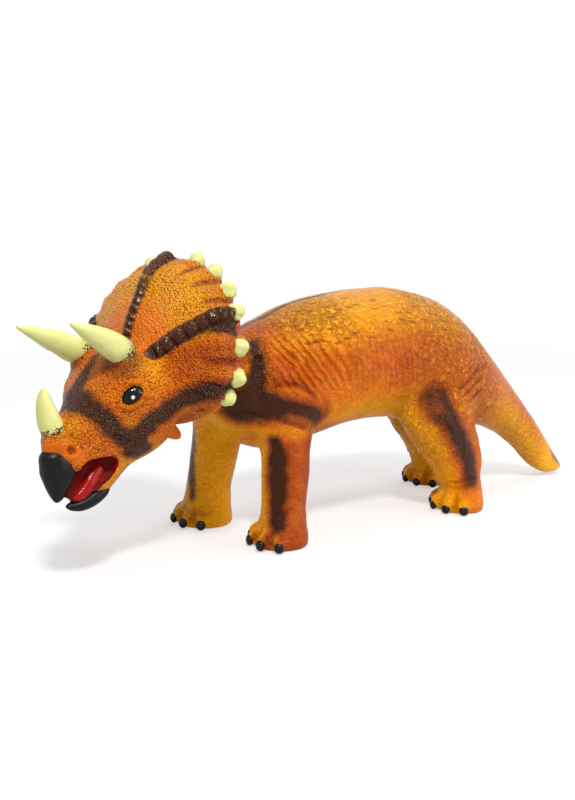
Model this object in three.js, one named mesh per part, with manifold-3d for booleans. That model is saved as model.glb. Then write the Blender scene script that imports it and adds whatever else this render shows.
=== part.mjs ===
// A soft vinyl toy triceratops that stands on four legs, its mouth open and its head turned to
// its left. Millimetres: +X runs from head to tail, +Y to the animal's right and +Z upwards.

import * as THREE from 'three';
import { mergeVertices } from 'three/addons/utils/BufferGeometryUtils.js';
import Module from 'manifold-3d';

const wasm = await Module();
wasm.setup();

// Fits
const fitGap = 0.3;
const cutOverrun = 6;
const skinWall = 2.6;
const headWall = 8;
const hollowGap = skinWall + fitGap;

// Trunk: one run of skin from the neck to the tip of the tail
const trunkLength = 450;
const trunkWidth = 128;
const backHeight = 216;

// Legs: the places of foot and hip are shares of the trunk's length
const footSpreadShare = 0.36;
const footSpread = footSpreadShare * trunkWidth;
const frontLegHeight = 150;
const frontLegRadiusLeft = 21;
const frontLegRadiusRight = 22.5;
const rearLegHeight = 160;
const rearLegRadius = 21;

// Toes and claws
const toeLength = 11;
const toeWidth = 8;
const toeHeight = 9;
const toeAngles = [-54, -19, 17, 52];
const clawLength = 4.6;
const clawWidth = 4.3;
const clawHeight = 4.4;
const clawSize = [clawLength, clawWidth, clawHeight];

// Tail: its seam lies on a ring of the trunk, with a spigot inside the torso
const tailSeamRowShare = 12.3;
const tailSpigot = 10;

// Head: the frame's origin is the neck joint, its X runs to the back of the head
const neckPlaceShare = -0.2222;
const neckX = neckPlaceShare * trunkLength;
const neckZ = 140;
const headPitch = 35;
const headYaw = 20;
const headRoll = -6;
const snoutLength = 150;
const headHeight = 88;
const faceWidth = 88;
const frillThickness = 11;
const frillHollow = 24;
const ridgeRadius = 5.5;
const beadShare = 0.8;
const midRidgeSwellShare = 1.6;
const midRidgeBeadCount = 7;
const sideRidgeBeadCount = 8;
const throatNubLength = 30;
const throatNubRadius = 8.5;
const neckLength = 90;
const neckEndShare = -0.1689;
const neckEnd = neckEndShare * trunkLength;
const neckRadius = 27;

// Mouth and beak
const mouthWidth = 28;
const scoopLength = 26;
const scoopWidth = 12;
const scoopHeight = 10;
const tongueLength = 20;
const tongueWidth = 8.5;
const tongueHeight = 5;
const beakWidth = 24;

// Horns, spikes and eyes
const noseHornLength = 29;
const noseHornRadius = 10;
const noseHornBend = 6;
const browHornLength = 56;
const browHornRadius = 11.3;
const browHornBend = 4;
const hornSeat = 5;
const browBossRadius = 14;
const browBossSunk = 8;
const browHornRise = 5;
const spikeLength = 10;
const spikeRadius = 7.2;
const spikesSunk = 1.5;
const eyeLength = 8.9;
const eyeHeight = 6.6;
const eyeDepth = 4.8;
const eyeSize = [eyeLength, eyeHeight, eyeDepth];

// Belly plug
const plugRadius = 12;
const plugPlaceShare = 0.1556;
const plugPlace = plugPlaceShare * trunkLength;
const plugSides = 16;
const plugProud = 0.8;

// Trunk rows, from the neck to the tip of the tail: top and bottom of the midline as shares of
// the trunk's length and the height of the back, then half width, height of the widest place
// and squareness
const trunkShares = [
  [-0.271, 0.765, -0.271, 0.58, 0.4, 0.5, 2.0],
  [-0.211, 0.8, -0.211, 0.54, 0.56, 0.5, 2.0],
  [-0.173, 0.824, -0.173, 0.485, 0.66, 0.49, 2.0],
  [-0.133, 0.847, -0.133, 0.405, 0.77, 0.48, 2.0],
  [-0.058, 0.903, -0.058, 0.352, 0.9, 0.47, 2.1],
  [0.007, 0.954, 0.007, 0.382, 0.97, 0.47, 2.1],
  [0.102, 0.991, 0.102, 0.428, 1.0, 0.47, 2.1],
  [0.178, 1.004, 0.178, 0.436, 1.0, 0.47, 2.1],
  [0.256, 0.998, 0.256, 0.42, 1.0, 0.47, 2.1],
  [0.36, 0.937, 0.344, 0.355, 0.96, 0.47, 2.1],
  [0.437, 0.825, 0.4, 0.338, 0.82, 0.48, 2.1],
  [0.489, 0.727, 0.456, 0.34, 0.68, 0.48, 2.0],
  [0.533, 0.64, 0.502, 0.325, 0.56, 0.48, 2.0],
  [0.577, 0.543, 0.542, 0.298, 0.455, 0.5, 2.0],
  [0.634, 0.42, 0.589, 0.245, 0.36, 0.5, 2.0],
  [0.692, 0.29, 0.638, 0.168, 0.28, 0.5, 2.0],
  [0.741, 0.168, 0.684, 0.075, 0.21, 0.5, 2.0],
  [0.77, 0.096, 0.729, 0.022, 0.15, 0.5, 2.0],
  [0.788, 0.054, 0.762, 0.012, 0.09, 0.5, 2.0],
  [0.796, 0.036, 0.784, 0.016, 0.035, 0.5, 2.0],
];

// Leg rows: height, share of the way from foot to hip, reach in front and behind, half width
// and place across
const frontLegShares = [
  [0.0, 0.0, 1.12, 1.02, 1.12, 1.0],
  [0.035, 0.0, 1.27, 1.12, 1.22, 1.0],
  [0.09, 0.02, 1.2, 1.08, 1.18, 1.0],
  [0.16, 0.1, 0.98, 0.98, 1.02, 1.0],
  [0.24, 0.2, 0.93, 0.93, 0.95, 1.0],
  [0.4, 0.5, 1.0, 1.0, 0.98, 0.98],
  [0.567, 0.8, 1.1, 1.02, 1.05, 0.95],
  [0.7, 1.0, 1.32, 1.18, 1.1, 0.92],
  [0.815, 1.0, 1.4, 1.4, 1.0, 0.86],
  [0.905, 1.0, 1.2, 1.2, 0.74, 0.74],
  [1.0, 1.0, 0.8, 0.8, 0.4, 0.62],
];
const rearLegShares = [
  [0.0, 0.0, 1.1, 0.85, 1.08, 1.0],
  [0.032, 0.0, 1.24, 0.9, 1.18, 1.0],
  [0.086, 0.02, 1.14, 0.9, 1.12, 1.0],
  [0.15, 0.08, 0.95, 0.97, 1.0, 1.0],
  [0.215, 0.25, 1.0, 1.16, 0.98, 1.0],
  [0.29, 0.42, 1.18, 1.54, 1.0, 0.98],
  [0.409, 0.75, 1.5, 1.82, 1.1, 0.95],
  [0.559, 1.0, 2.0, 1.88, 1.22, 0.91],
  [0.72, 1.02, 2.15, 1.82, 1.2, 0.84],
  [0.86, 1.1, 1.7, 1.3, 0.8, 0.7],
  [1.0, 1.3, 1.0, 0.6, 0.4, 0.56],
];

// Head rows, from the snout to the frill's rim: top and bottom of the midline as shares of
// the snout's length and the head's height, half width as a share of the face, height of the
// widest place, and how square the ring is
const headShares = [
  [-0.98, 0.67, -0.97, 0.54, 0.1, 0.5, 2.0],
  [-0.95, 0.775, -0.92, 0.36, 0.23, 0.5, 2.1],
  [-0.885, 0.86, -0.875, 0.06, 0.35, 0.5, 2.3],
  [-0.785, 0.845, -0.78, 0.03, 0.44, 0.5, 2.2],
  [-0.655, 0.88, -0.66, 0.05, 0.62, 0.5, 2.35],
  [-0.52, 0.945, -0.55, 0.01, 0.85, 0.5, 2.8],
  [-0.367, 0.975, -0.45, 0.0, 1.02, 0.48, 2.8],
  [-0.207, 0.86, -0.375, 0.07, 1.15, 0.44, 2.2],
  [-0.075, 0.96, -0.335, 0.1, 1.38, 0.39, 2.2],
  [0.07, 1.055, -0.315, 0.06, 1.66, 0.38, 2.3],
  [0.215, 1.13, -0.305, -0.02, 1.83, 0.385, 2.3],
  [0.38, 1.07, -0.285, -0.02, 1.81, 0.375, 2.15],
];

// Rings behind the frill's rim: depth as a share of the hollow and size as a share of the rim
const frillBackShares = [[0, 1], [0.33, 0.84], [1, 0.45]];
const hollowStartRow = 4;
const hollowEndRow = 9;
const hollowEndShare = 0.25;

// Neck plug rows: share of its length and radius
const neckShares = [[0, 0.5], [0.25, 0.9], [0.5, 1], [0.92, 1], [1, 0.85]];

// Horn and spike rows: height and radius
const hornShares = [[0, 1], [0.12, 1], [0.3, 0.91], [0.5, 0.75], [0.7, 0.54], [0.88, 0.3], [1, 0.1]];
const spikeShares = [[-0.4, 0.8], [0, 1], [0.45, 0.86], [0.8, 0.52], [1, 0.16]];

// Beak rows, from the root to the tip, built as the head's rows
const upperBeakShares = [
  [-0.93, 0.76, -0.83, 0.64, 0.55, 0.5, 2.0],
  [-0.985, 0.745, -0.85, 0.56, 0.9, 0.5, 2.0],
  [-1.02, 0.67, -0.87, 0.48, 1.0, 0.5, 2.1],
  [-1.048, 0.594, -0.89, 0.405, 0.96, 0.5, 2.1],
  [-1.073, 0.475, -0.965, 0.365, 0.66, 0.5, 2.0],
  [-1.083, 0.385, -1.035, 0.325, 0.28, 0.5, 2.0],
  [-1.08, 0.345, -1.065, 0.328, 0.08, 0.5, 2.0],
];
const lowerBeakShares = [
  [-0.815, 0.185, -0.8, 0.03, 0.74, 0.5, 2.0],
  [-0.86, 0.185, -0.86, 0.012, 0.94, 0.5, 2.1],
  [-0.935, 0.195, -0.935, 0.035, 0.86, 0.5, 2.1],
  [-0.995, 0.222, -1.0, 0.09, 0.62, 0.5, 2.0],
  [-1.035, 0.245, -1.04, 0.165, 0.3, 0.5, 2.0],
  [-1.05, 0.245, -1.052, 0.215, 0.1, 0.5, 2.0],
];

// The mouth's outline from the side: along the snout and up the head
const mouthShares = [
  [-1.2, 0.45],
  [-0.935, 0.445],
  [-0.87, 0.475],
  [-0.79, 0.41],
  [-0.735, 0.315],
  [-0.735, 0.24],
  [-0.77, 0.185],
  [-0.86, 0.175],
  [-1.2, 0.33],
];

// The lining's front limit, then the tongue's middle along the snout and up the head with its
// slope in degrees, and the middle of the lining's scoop
const mouthFrontShare = 0.92;
const tonguePlaceShares = [-0.905, 0.262, 14];
const scoopPlaceShares = [-1, 0.36];

// Places on the head: row number in the head's table and angle above the side, in degrees
const eyePlaceShare = [5.2, 19];
const noseHornPlaceShare = [2.5, 90];
const browHornPlaceShare = [6.05, 66];
const midRidgePlaceShares = [[7, 90], [9, 90], [11, 90]];
const sideRidgePlaceShares = [[7.0, 51], [8.0, 41], [9.2, 31], [10.3, 25], [11, 22]];
const spikeAngles = [72, 55, 39, 25, 6, -14, -33];
const throatNubPlaceShare = [9.4, -90];

// Leaning directions: along X, aside and up
const noseLeanShare = [0.26, 0, 1];
const browLeanShare = [-0.46, 0.15, 1];
const nubLeanShare = [0.36, 0, -1];
const eyeLeanShare = [1, 0, -0.5];

// The part of a row taken to find which way the skin faces
const facingStepShare = 0.05;

// Sides of a ring: the outer skins are rounder than the hollows inside them
const trunkSides = 26;
const legSides = 14;
const headSides = 24;
const trunkHollowSides = 12;
const hollowSides = 8;
const toeSides = 8;
const trimSides = 6;

const skinOrange = new THREE.MeshStandardMaterial({ color: 0xd9731a, roughness: 0.42, metalness: 0 });
const hornIvory = new THREE.MeshStandardMaterial({ color: 0xe6e08c, roughness: 0.45, metalness: 0 });
const beakBlack = new THREE.MeshStandardMaterial({ color: 0x15120f, roughness: 0.35, metalness: 0 });
const mouthRed = new THREE.MeshStandardMaterial({ color: 0xa01216, roughness: 0.4, metalness: 0 });
const tongueRed = new THREE.MeshStandardMaterial({ color: 0xc4232a, roughness: 0.35, metalness: 0 });
const eyeBlack = new THREE.MeshStandardMaterial({ color: 0x0a0a0a, roughness: 0.1, metalness: 0 });
const fibreWhite = new THREE.MeshStandardMaterial({ color: 0xf2f0ea, roughness: 0.95, metalness: 0 });

const radians = THREE.MathUtils.degToRad;
const sideways = new THREE.Vector3(0, 1, 0);
const upwards = new THREE.Vector3(0, 0, 1);
const forwards = new THREE.Vector3(-1, 0, 0);

// The value at a fractional row of one column, on a smooth curve through the rows.
function smoothRow(rows, place) {
  const i = Math.min(Math.floor(place), rows.length - 2);
  const t = place - i;
  const a = rows[Math.max(i - 1, 0)];
  const b = rows[i];
  const c = rows[i + 1];
  const d = rows[Math.min(i + 2, rows.length - 1)];
  return b.map((_, k) => {
    const pull = (c[k] - a[k]) / 2;
    const push = (d[k] - b[k]) / 2;
    const bend = 3 * (c[k] - b[k]) - 2 * pull - push;
    const close = 2 * (b[k] - c[k]) + pull + push;
    return b[k] + t * (pull + t * (bend + t * close));
  });
}

// One point of a station's ring: a rounded outline with its own reach up, down and aside.
function ringPoint(station, angle) {
  const power = 2 / (station.fullness ?? 2);
  const c = Math.cos(angle);
  const n = Math.sin(angle);
  const reach = n > 0 ? station.rise : station.drop;
  return station.centre
    .clone()
    .addScaledVector(station.side, Math.sign(c) * Math.abs(c) ** power * station.wide)
    .addScaledVector(station.up, Math.sign(n) * Math.abs(n) ** power * reach);
}

// A ring between a top and a bottom point of the midline, from a row of shares.
function ringStation([topX, topZ, lowX, lowZ, wide, widest, fullness], length, height, width, grow) {
  const top = new THREE.Vector3(topX * length, 0, topZ * height);
  const low = new THREE.Vector3(lowX * length, 0, lowZ * height);
  const up = top.clone().sub(low);
  const tall = up.length();
  up.normalize();
  return {
    centre: low.addScaledVector(up, tall * widest),
    side: sideways,
    up,
    wide: (wide * width) / 2 + grow,
    rise: tall * (1 - widest) + grow,
    drop: tall * widest + grow,
    fullness,
  };
}

// Turns the faces round where they point inwards.
function facedOut(geometry) {
  const p = geometry.attributes.position;
  const index = geometry.index.array;
  const [a, b, c] = [new THREE.Vector3(), new THREE.Vector3(), new THREE.Vector3()];
  let volume = 0;
  for (let i = 0; i < index.length; i += 3) {
    a.fromBufferAttribute(p, index[i]);
    b.fromBufferAttribute(p, index[i + 1]);
    c.fromBufferAttribute(p, index[i + 2]);
    volume += a.dot(b.cross(c));
  }
  if (volume < 0) {
    for (let i = 0; i < index.length; i += 3) {
      [index[i], index[i + 1]] = [index[i + 1], index[i]];
    }
  }
  return geometry;
}

// Rings round a line of stations, joined into one closed skin with a fan at each end.
function loft(stations, ringPoints) {
  const positions = [];
  const faces = [];
  for (const station of stations) {
    for (let k = 0; k < ringPoints; k += 1) {
      positions.push(...ringPoint(station, (k / ringPoints) * 2 * Math.PI));
    }
  }
  const last = stations.length - 1;
  positions.push(...stations[0].centre, ...stations[last].centre);
  const poles = [stations.length * ringPoints, stations.length * ringPoints + 1];
  for (let k = 0; k < ringPoints; k += 1) {
    const next = (k + 1) % ringPoints;
    for (let i = 0; i < last; i += 1) {
      const a = i * ringPoints + k;
      const b = i * ringPoints + next;
      faces.push(a, b, a + ringPoints, b, b + ringPoints, a + ringPoints);
    }
    faces.push(next, k, poles[0], last * ringPoints + k, last * ringPoints + next, poles[1]);
  }
  const geometry = new THREE.BufferGeometry();
  geometry.setAttribute('position', new THREE.Float32BufferAttribute(positions, 3));
  geometry.setIndex(faces);
  return facedOut(geometry);
}

// A closed geometry as a solid, moved by a matrix where one is given.
function solid(geometry, matrix) {
  const bare = geometry.clone();
  bare.deleteAttribute('normal');
  bare.deleteAttribute('uv');
  if (matrix) bare.applyMatrix4(matrix);
  const merged = mergeVertices(bare);
  const vertProperties = new Float32Array(merged.attributes.position.array);
  const triVerts = new Uint32Array(merged.index.array);
  return new wasm.Manifold(new wasm.Mesh({ numProp: 3, vertProperties, triVerts }));
}

// A named mesh of a solid.
function meshOf(name, body, material) {
  const { vertProperties, triVerts } = body.getMesh();
  const geometry = new THREE.BufferGeometry();
  geometry.setAttribute('position', new THREE.Float32BufferAttribute(vertProperties, 3));
  geometry.setIndex(Array.from(triVerts));
  geometry.computeVertexNormals();
  const mesh = new THREE.Mesh(geometry, material);
  mesh.name = name;
  return mesh;
}

function ellipsoid([x, y, z], grow = 0, around = toeSides) {
  const ball = new THREE.SphereGeometry(1, around, around / 2);
  return ball.rotateX(Math.PI / 2).scale(x + grow, y + grow, z + grow);
}

// Places a mesh or a cutting tool with its Z along one direction and its X towards another.
function placing(point, along, towards) {
  const z = along.clone().normalize();
  const y = z.clone().cross(towards).normalize();
  const x = y.clone().cross(z);
  return new THREE.Matrix4().makeBasis(x, y, z).setPosition(point);
}

// Trunk
function trunkStation(place, grow = 0) {
  return ringStation(smoothRow(trunkShares, place), trunkLength, backHeight, trunkWidth, grow);
}

function trunkForm(grow, ringPoints = trunkSides) {
  const stations = trunkShares
    .map((_, i) => trunkStation(i, grow))
    .filter(({ wide, rise, drop }) => Math.min(wide, rise, drop) > fitGap);
  const last = stations.at(-1);
  stations[0].centre.x -= grow;
  last.centre.addScaledVector(sideways.clone().cross(last.up), grow);
  return loft(stations, ringPoints);
}

// A block across the trunk, from one distance to another behind the tail's seam.
function seamBlock(from, to) {
  const seam = trunkStation(tailSeamRowShare);
  const back = sideways.clone().cross(seam.up);
  const middle = seam.centre.clone().addScaledVector(back, (from + to) / 2);
  const block = new THREE.BoxGeometry(2 * trunkWidth, 2 * trunkWidth, to - from);
  return solid(block, placing(middle, back, sideways));
}

// Legs
const legs = [
  { name: 'front_leg_left', side: -1, placeShares: [-0.0733, -0.0578], radius: frontLegRadiusLeft },
  { name: 'front_leg_right', side: 1, placeShares: [-0.1378, -0.1022], radius: frontLegRadiusRight },
  { name: 'rear_leg_left', side: -1, placeShares: [0.3844, 0.3222], radius: rearLegRadius },
  { name: 'rear_leg_right', side: 1, placeShares: [0.4667, 0.4089], radius: rearLegRadius },
].map((leg) => {
  const [foot, hip] = leg.placeShares.map((share) => share * trunkLength);
  return { ...leg, foot, hip };
});

// A leg's skin grown or drawn in; the top runs on where the hollow opens into the torso.
function legForm(leg, grow, runOn = 0, ringPoints = legSides) {
  const front = leg.name.startsWith('front');
  const height = front ? frontLegHeight : rearLegHeight;
  const rows = front ? frontLegShares : rearLegShares;
  const { radius } = leg;
  const stations = rows.map(([high, swing, ahead, behind, wide, across], i) => ({
    centre: new THREE.Vector3(
      leg.foot + (leg.hip - leg.foot) * swing,
      leg.side * footSpread * across,
      high * height - (i === 0 ? grow : 0),
    ),
    side: sideways,
    up: forwards,
    wide: wide * radius + grow,
    rise: ahead * radius + grow,
    drop: behind * radius + grow,
  }));
  const top = stations.at(-1);
  const end = top.centre.clone().setZ(top.centre.z + Math.max(grow, 0) + runOn);
  stations.push({ ...top, centre: end });
  return loft(stations, ringPoints);
}

// Toes fan out in front of the foot, each with the seat of its claw.
function toePlaces(leg) {
  return toeAngles.map((angle) => {
    const turn = new THREE.Vector3(-Math.cos(radians(angle)), Math.sin(radians(angle)), 0);
    const centre = new THREE.Vector3(leg.foot, leg.side * footSpread, toeHeight - fitGap);
    return { turn, centre: centre.addScaledVector(turn, leg.radius) };
  });
}

function clawMatrix(toe) {
  const low = toe.centre.clone().addScaledVector(toe.turn, toeLength - clawLength / 2);
  low.z = clawHeight + 2 * fitGap;
  return placing(low, upwards, toe.turn);
}

function legSkin(leg) {
  let skin = solid(legForm(leg, 0));
  for (const toe of toePlaces(leg)) {
    const knuckle = ellipsoid([toeLength, toeWidth, toeHeight]);
    skin = skin.add(solid(knuckle, placing(toe.centre, upwards, toe.turn)));
  }
  const deep = 2 * footSpread;
  const ground = new THREE.BoxGeometry(deep, deep, deep);
  const under = new THREE.Vector3(leg.foot, leg.side * footSpread, -deep / 2);
  skin = skin.subtract(solid(ground, new THREE.Matrix4().setPosition(under)));
  skin = skin.subtract(solid(legForm(leg, -skinWall, cutOverrun, hollowSides)));
  for (const toe of toePlaces(leg)) {
    const seat = ellipsoid(clawSize, fitGap, trimSides);
    skin = skin.subtract(solid(seat, clawMatrix(toe)));
  }
  return skin;
}

function addClaws(group, leg) {
  toePlaces(leg).forEach((toe, i) => {
    const claw = solid(ellipsoid(clawSize, 0, trimSides));
    const name = `claw_${leg.name.replace('_leg', '')}_${i + 1}`;
    const mesh = meshOf(name, claw, beakBlack);
    mesh.applyMatrix4(clawMatrix(toe));
    group.add(mesh);
  });
}

// Tail: the rear of the trunk with a spigot that fits inside the torso
function tailSkin() {
  const outside = solid(trunkForm(0)).intersect(seamBlock(fitGap / 2, trunkLength));
  const spigot = solid(trunkForm(-hollowGap, trunkHollowSides)).intersect(seamBlock(-tailSpigot, fitGap));
  return outside.add(spigot).subtract(solid(trunkForm(-hollowGap - skinWall, hollowSides)));
}

// Head
function headStation(place, grow = 0) {
  return ringStation(smoothRow(headShares, place), snoutLength, headHeight, faceWidth, grow);
}

function headForm(grow) {
  const stations = headShares.map((_, i) => headStation(i, grow));
  stations[0].centre.x -= grow;
  const rim = stations.at(-1);
  const back = sideways.clone().cross(rim.up);
  for (const [depth, share] of frillBackShares) {
    stations.push({
      ...rim,
      centre: rim.centre.clone().addScaledVector(back, frillThickness - depth * frillHollow + grow),
      wide: rim.wide * share,
      rise: rim.rise * share,
      drop: rim.drop * share,
    });
  }
  return loft(stations, headSides);
}

// The hollow of the head runs from behind the mouth to in front of the frill's back.
function headHollow(grow) {
  const stations = [];
  for (let i = hollowStartRow; i <= hollowEndRow; i += 1) {
    stations.push(headStation(i, grow - headWall));
  }
  stations[0].centre.x -= grow * hollowEndShare;
  stations.at(-1).centre.x += grow * hollowEndShare;
  return loft(stations, hollowSides);
}

// The neck plug lies along the torso, its rear end inside the torso's skin.
function neckForm(grow, runOn = 0) {
  const middle = trunkStation(1).centre.z;
  const last = neckShares.length - 1;
  return loft(neckShares.map(([along, wide], i) => {
    const front = i === 0 ? grow : 0;
    const rear = i === last ? Math.max(grow, 0) + runOn : 0;
    const x = neckEnd - neckLength * (1 - along) - front + rear;
    const reach = wide * neckRadius + grow;
    const centre = new THREE.Vector3(x, 0, middle);
    return { centre, side: sideways, up: upwards, wide: reach, rise: reach, drop: reach };
  }), legSides);
}

// A point on the head's skin and the direction in which it faces.
function headPoint([place, angle], side) {
  const turn = side < 0 ? Math.PI - radians(angle) : radians(angle);
  const point = ringPoint(headStation(place), turn);
  const ahead = ringPoint(headStation(Math.max(place - facingStepShare, 0)), turn).sub(point);
  const round = ringPoint(headStation(place), turn + facingStepShare).sub(point);
  const facing = ahead.cross(round).normalize();
  if (facing.dot(point.clone().sub(headStation(place).centre)) < 0) facing.negate();
  return { point, facing };
}

// A beaded ridge that follows the head's skin through a row of places and swells to its end.
function ridgeForm(places, side, beadCount, endSwell) {
  const steps = beadCount * 2;
  const points = Array.from({ length: steps + 1 }, (_, i) => (
    headPoint(smoothRow(places, (i / steps) * (places.length - 1)), side)));
  return loft(points.map(({ point, facing }, i) => {
    const before = points[Math.max(i - 1, 0)].point;
    const after = points[Math.min(i + 1, steps)].point;
    const along = after.clone().sub(before).normalize();
    const swell = (1 + (endSwell - 1) * (i / steps)) * (i % 2 ? 1 : beadShare);
    const reach = ridgeRadius * (i === 0 || i === steps ? swell / 2 : swell);
    const across = along.clone().cross(facing).normalize();
    return { centre: point, side: across, up: facing, wide: reach, rise: reach, drop: reach };
  }), trimSides);
}

// A horn that stands on its own Z and bends towards its own X.
function hornForm(length, radius, bend, grow = 0) {
  return loft(hornShares.map(([high, wide], i) => {
    const foot = i === 0 ? hornSeat + grow : 0;
    const tip = i === hornShares.length - 1 ? grow : 0;
    const centre = new THREE.Vector3(bend * high * high, 0, high * length - foot + tip);
    const reach = wide * radius + grow;
    return { centre, side: sideways, up: forwards, wide: reach, rise: reach, drop: reach };
  }), legSides);
}

function spikeForm(grow = 0) {
  return loft(spikeShares.map(([high, wide]) => {
    const reach = wide * spikeRadius + grow;
    const centre = new THREE.Vector3(0, 0, high * spikeLength + Math.sign(high) * grow);
    return { centre, side: sideways, up: forwards, wide: reach, rise: reach, drop: reach };
  }), trimSides);
}

// A beak: rings between its front and its rear edge, grown at both ends too.
function beakForm(shares, grow = 0) {
  const stations = shares.map((row) => ringStation(row, snoutLength, headHeight, beakWidth, grow));
  const [first, second] = stations;
  const [before, last] = stations.slice(-2);
  const root = first.centre.clone().sub(second.centre).setLength(grow);
  const tip = last.centre.clone().sub(before.centre).setLength(grow);
  first.centre.add(root);
  last.centre.add(tip);
  return loft(stations, legSides);
}

// The mouth's outline carried across the head; a share draws it in towards its middle.
function mouthForm(width, draw, frontLimit) {
  const points = mouthShares.map(([x, z]) => (
    new THREE.Vector2(Math.max(x * snoutLength, frontLimit), z * headHeight)));
  const sum = points.reduce((all, p) => all.add(p), new THREE.Vector2());
  const middle = sum.divideScalar(points.length);
  const drawn = points.map((p) => p.clone().add(middle.clone().sub(p).setLength(draw)));
  const options = { depth: width, bevelEnabled: false };
  const geometry = new THREE.ExtrudeGeometry(new THREE.Shape(drawn), options);
  return geometry.rotateX(Math.PI / 2).translate(0, width / 2, 0);
}

function tongueMatrix() {
  const [x, z, tilt] = tonguePlaceShares;
  const lean = new THREE.Vector3(Math.sin(radians(tilt)), 0, Math.cos(radians(tilt)));
  return placing(new THREE.Vector3(x * snoutLength, 0, z * headHeight), lean, forwards);
}

const sides = [[-1, 'left'], [1, 'right']];

// Every horn and spike on the head with its place, direction and form.
function headTrim() {
  const trim = [];
  const nose = headPoint(noseHornPlaceShare, 1);
  const noseLean = new THREE.Vector3(...noseLeanShare);
  trim.push({
    name: 'nose_horn',
    matrix: placing(nose.point, noseLean, forwards.clone().negate()),
    form: (grow) => hornForm(noseHornLength, noseHornRadius, noseHornBend, grow),
  });
  for (const [side, word] of sides) {
    const brow = headPoint(browHornPlaceShare, side);
    const lean = new THREE.Vector3(...browLeanShare);
    lean.y *= side;
    const browTop = brow.point.addScaledVector(brow.facing, browHornRise);
    trim.push({
      name: `brow_horn_${word}`,
      matrix: placing(browTop, lean, forwards),
      form: (grow) => hornForm(browHornLength, browHornRadius, browHornBend, grow),
    });
    spikeAngles.forEach((angle, i) => {
      const rim = headStation(headShares.length - 1);
      const turn = side < 0 ? Math.PI - radians(angle) : radians(angle);
      const outward = ringPoint(rim, turn).sub(rim.centre).normalize();
      const back = sideways.clone().cross(rim.up);
      const seat = ringPoint(rim, turn)
        .addScaledVector(back, frillThickness / 2)
        .addScaledVector(outward, -spikesSunk);
      trim.push({
        name: `frill_spike_${word}_${i + 1}`,
        matrix: placing(seat, outward, back),
        form: spikeForm,
      });
    });
  }
  return trim;
}

function eyeMatrix(side) {
  const { point, facing } = headPoint(eyePlaceShare, side);
  const deep = point.addScaledVector(facing, -eyeDepth / 3);
  return placing(deep, facing, new THREE.Vector3(...eyeLeanShare));
}

function headSkin(toHead) {
  let skin = solid(headForm(0)).add(solid(neckForm(0), toHead));
  const throat = headPoint(throatNubPlaceShare, 1).point;
  const nub = placing(throat, new THREE.Vector3(...nubLeanShare), forwards);
  skin = skin.add(solid(hornForm(throatNubLength, throatNubRadius, 0), nub));
  skin = skin.add(solid(ridgeForm(midRidgePlaceShares, 1, midRidgeBeadCount, midRidgeSwellShare)));
  for (const [side] of sides) {
    skin = skin.add(solid(ridgeForm(sideRidgePlaceShares, side, sideRidgeBeadCount, 1)));
    const { point, facing } = headPoint(browHornPlaceShare, side);
    const boss = placing(point.addScaledVector(facing, -browBossSunk), facing, forwards);
    skin = skin.add(solid(ellipsoid([browBossRadius, browBossRadius, browBossRadius]), boss));
  }
  skin = skin.subtract(solid(mouthForm(faceWidth, 0, -2 * snoutLength)));
  skin = skin.subtract(solid(headHollow(0)));
  skin = skin.subtract(solid(neckForm(-skinWall, cutOverrun), toHead));
  skin = skin.subtract(solid(beakForm(upperBeakShares, fitGap)));
  skin = skin.subtract(solid(beakForm(lowerBeakShares, fitGap)));
  for (const { matrix, form } of headTrim()) {
    skin = skin.subtract(solid(form(fitGap), matrix));
  }
  for (const [side] of sides) {
    skin = skin.subtract(solid(ellipsoid(eyeSize, fitGap), eyeMatrix(side)));
  }
  return skin;
}

function headGroup() {
  const group = new THREE.Group();
  group.position.set(neckX, 0, neckZ);
  group.rotation.set(radians(headRoll), radians(-headPitch), radians(headYaw), 'ZXY');
  group.updateMatrix();
  group.add(meshOf('head_skin', headSkin(group.matrix.clone().invert()), skinOrange));

  const upper = solid(beakForm(upperBeakShares));
  group.add(meshOf('upper_beak', upper, beakBlack));
  const lower = solid(beakForm(lowerBeakShares));
  group.add(meshOf('lower_beak', lower, beakBlack));

  const [scoopX, scoopZ] = scoopPlaceShares;
  const scoop = ellipsoid([scoopLength, scoopWidth, scoopHeight]);
  const scoopAt = new THREE.Vector3(scoopX * snoutLength, 0, scoopZ * headHeight);
  const tongueForm = (grow) => ellipsoid([tongueLength, tongueWidth, tongueHeight], grow);
  let lining = solid(mouthForm(mouthWidth, fitGap, -mouthFrontShare * snoutLength));
  lining = lining.subtract(solid(scoop, new THREE.Matrix4().setPosition(scoopAt)));
  lining = lining.subtract(solid(tongueForm(fitGap), tongueMatrix()));
  lining = lining.subtract(solid(beakForm(upperBeakShares, fitGap)));
  lining = lining.subtract(solid(beakForm(lowerBeakShares, fitGap)));
  group.add(meshOf('mouth_lining', lining, mouthRed));

  let tongue = solid(tongueForm(0), tongueMatrix());
  tongue = tongue.subtract(solid(beakForm(upperBeakShares, fitGap)));
  tongue = tongue.subtract(solid(beakForm(lowerBeakShares, fitGap)));
  group.add(meshOf('tongue', tongue, tongueRed));

  for (const { name, matrix, form } of headTrim()) {
    const mesh = meshOf(name, solid(form(0)), hornIvory);
    mesh.applyMatrix4(matrix);
    group.add(mesh);
  }
  for (const [side, word] of sides) {
    const mesh = meshOf(`eye_${word}`, solid(ellipsoid(eyeSize)), eyeBlack);
    mesh.applyMatrix4(eyeMatrix(side));
    group.add(mesh);
  }
  return group;
}

// Belly plug: a round tool through the underside of the trunk
function plugTool(radius) {
  const round = new THREE.CylinderGeometry(radius, radius, backHeight, plugSides);
  return solid(round.rotateX(Math.PI / 2).translate(plugPlace, 0, 0));
}

// The whole figure
const figure = new THREE.Group();
const head = headGroup();
const headCut = solid(headForm(fitGap), head.matrix).add(solid(neckForm(fitGap)));
const plugHole = plugTool(plugRadius + fitGap);

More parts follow.
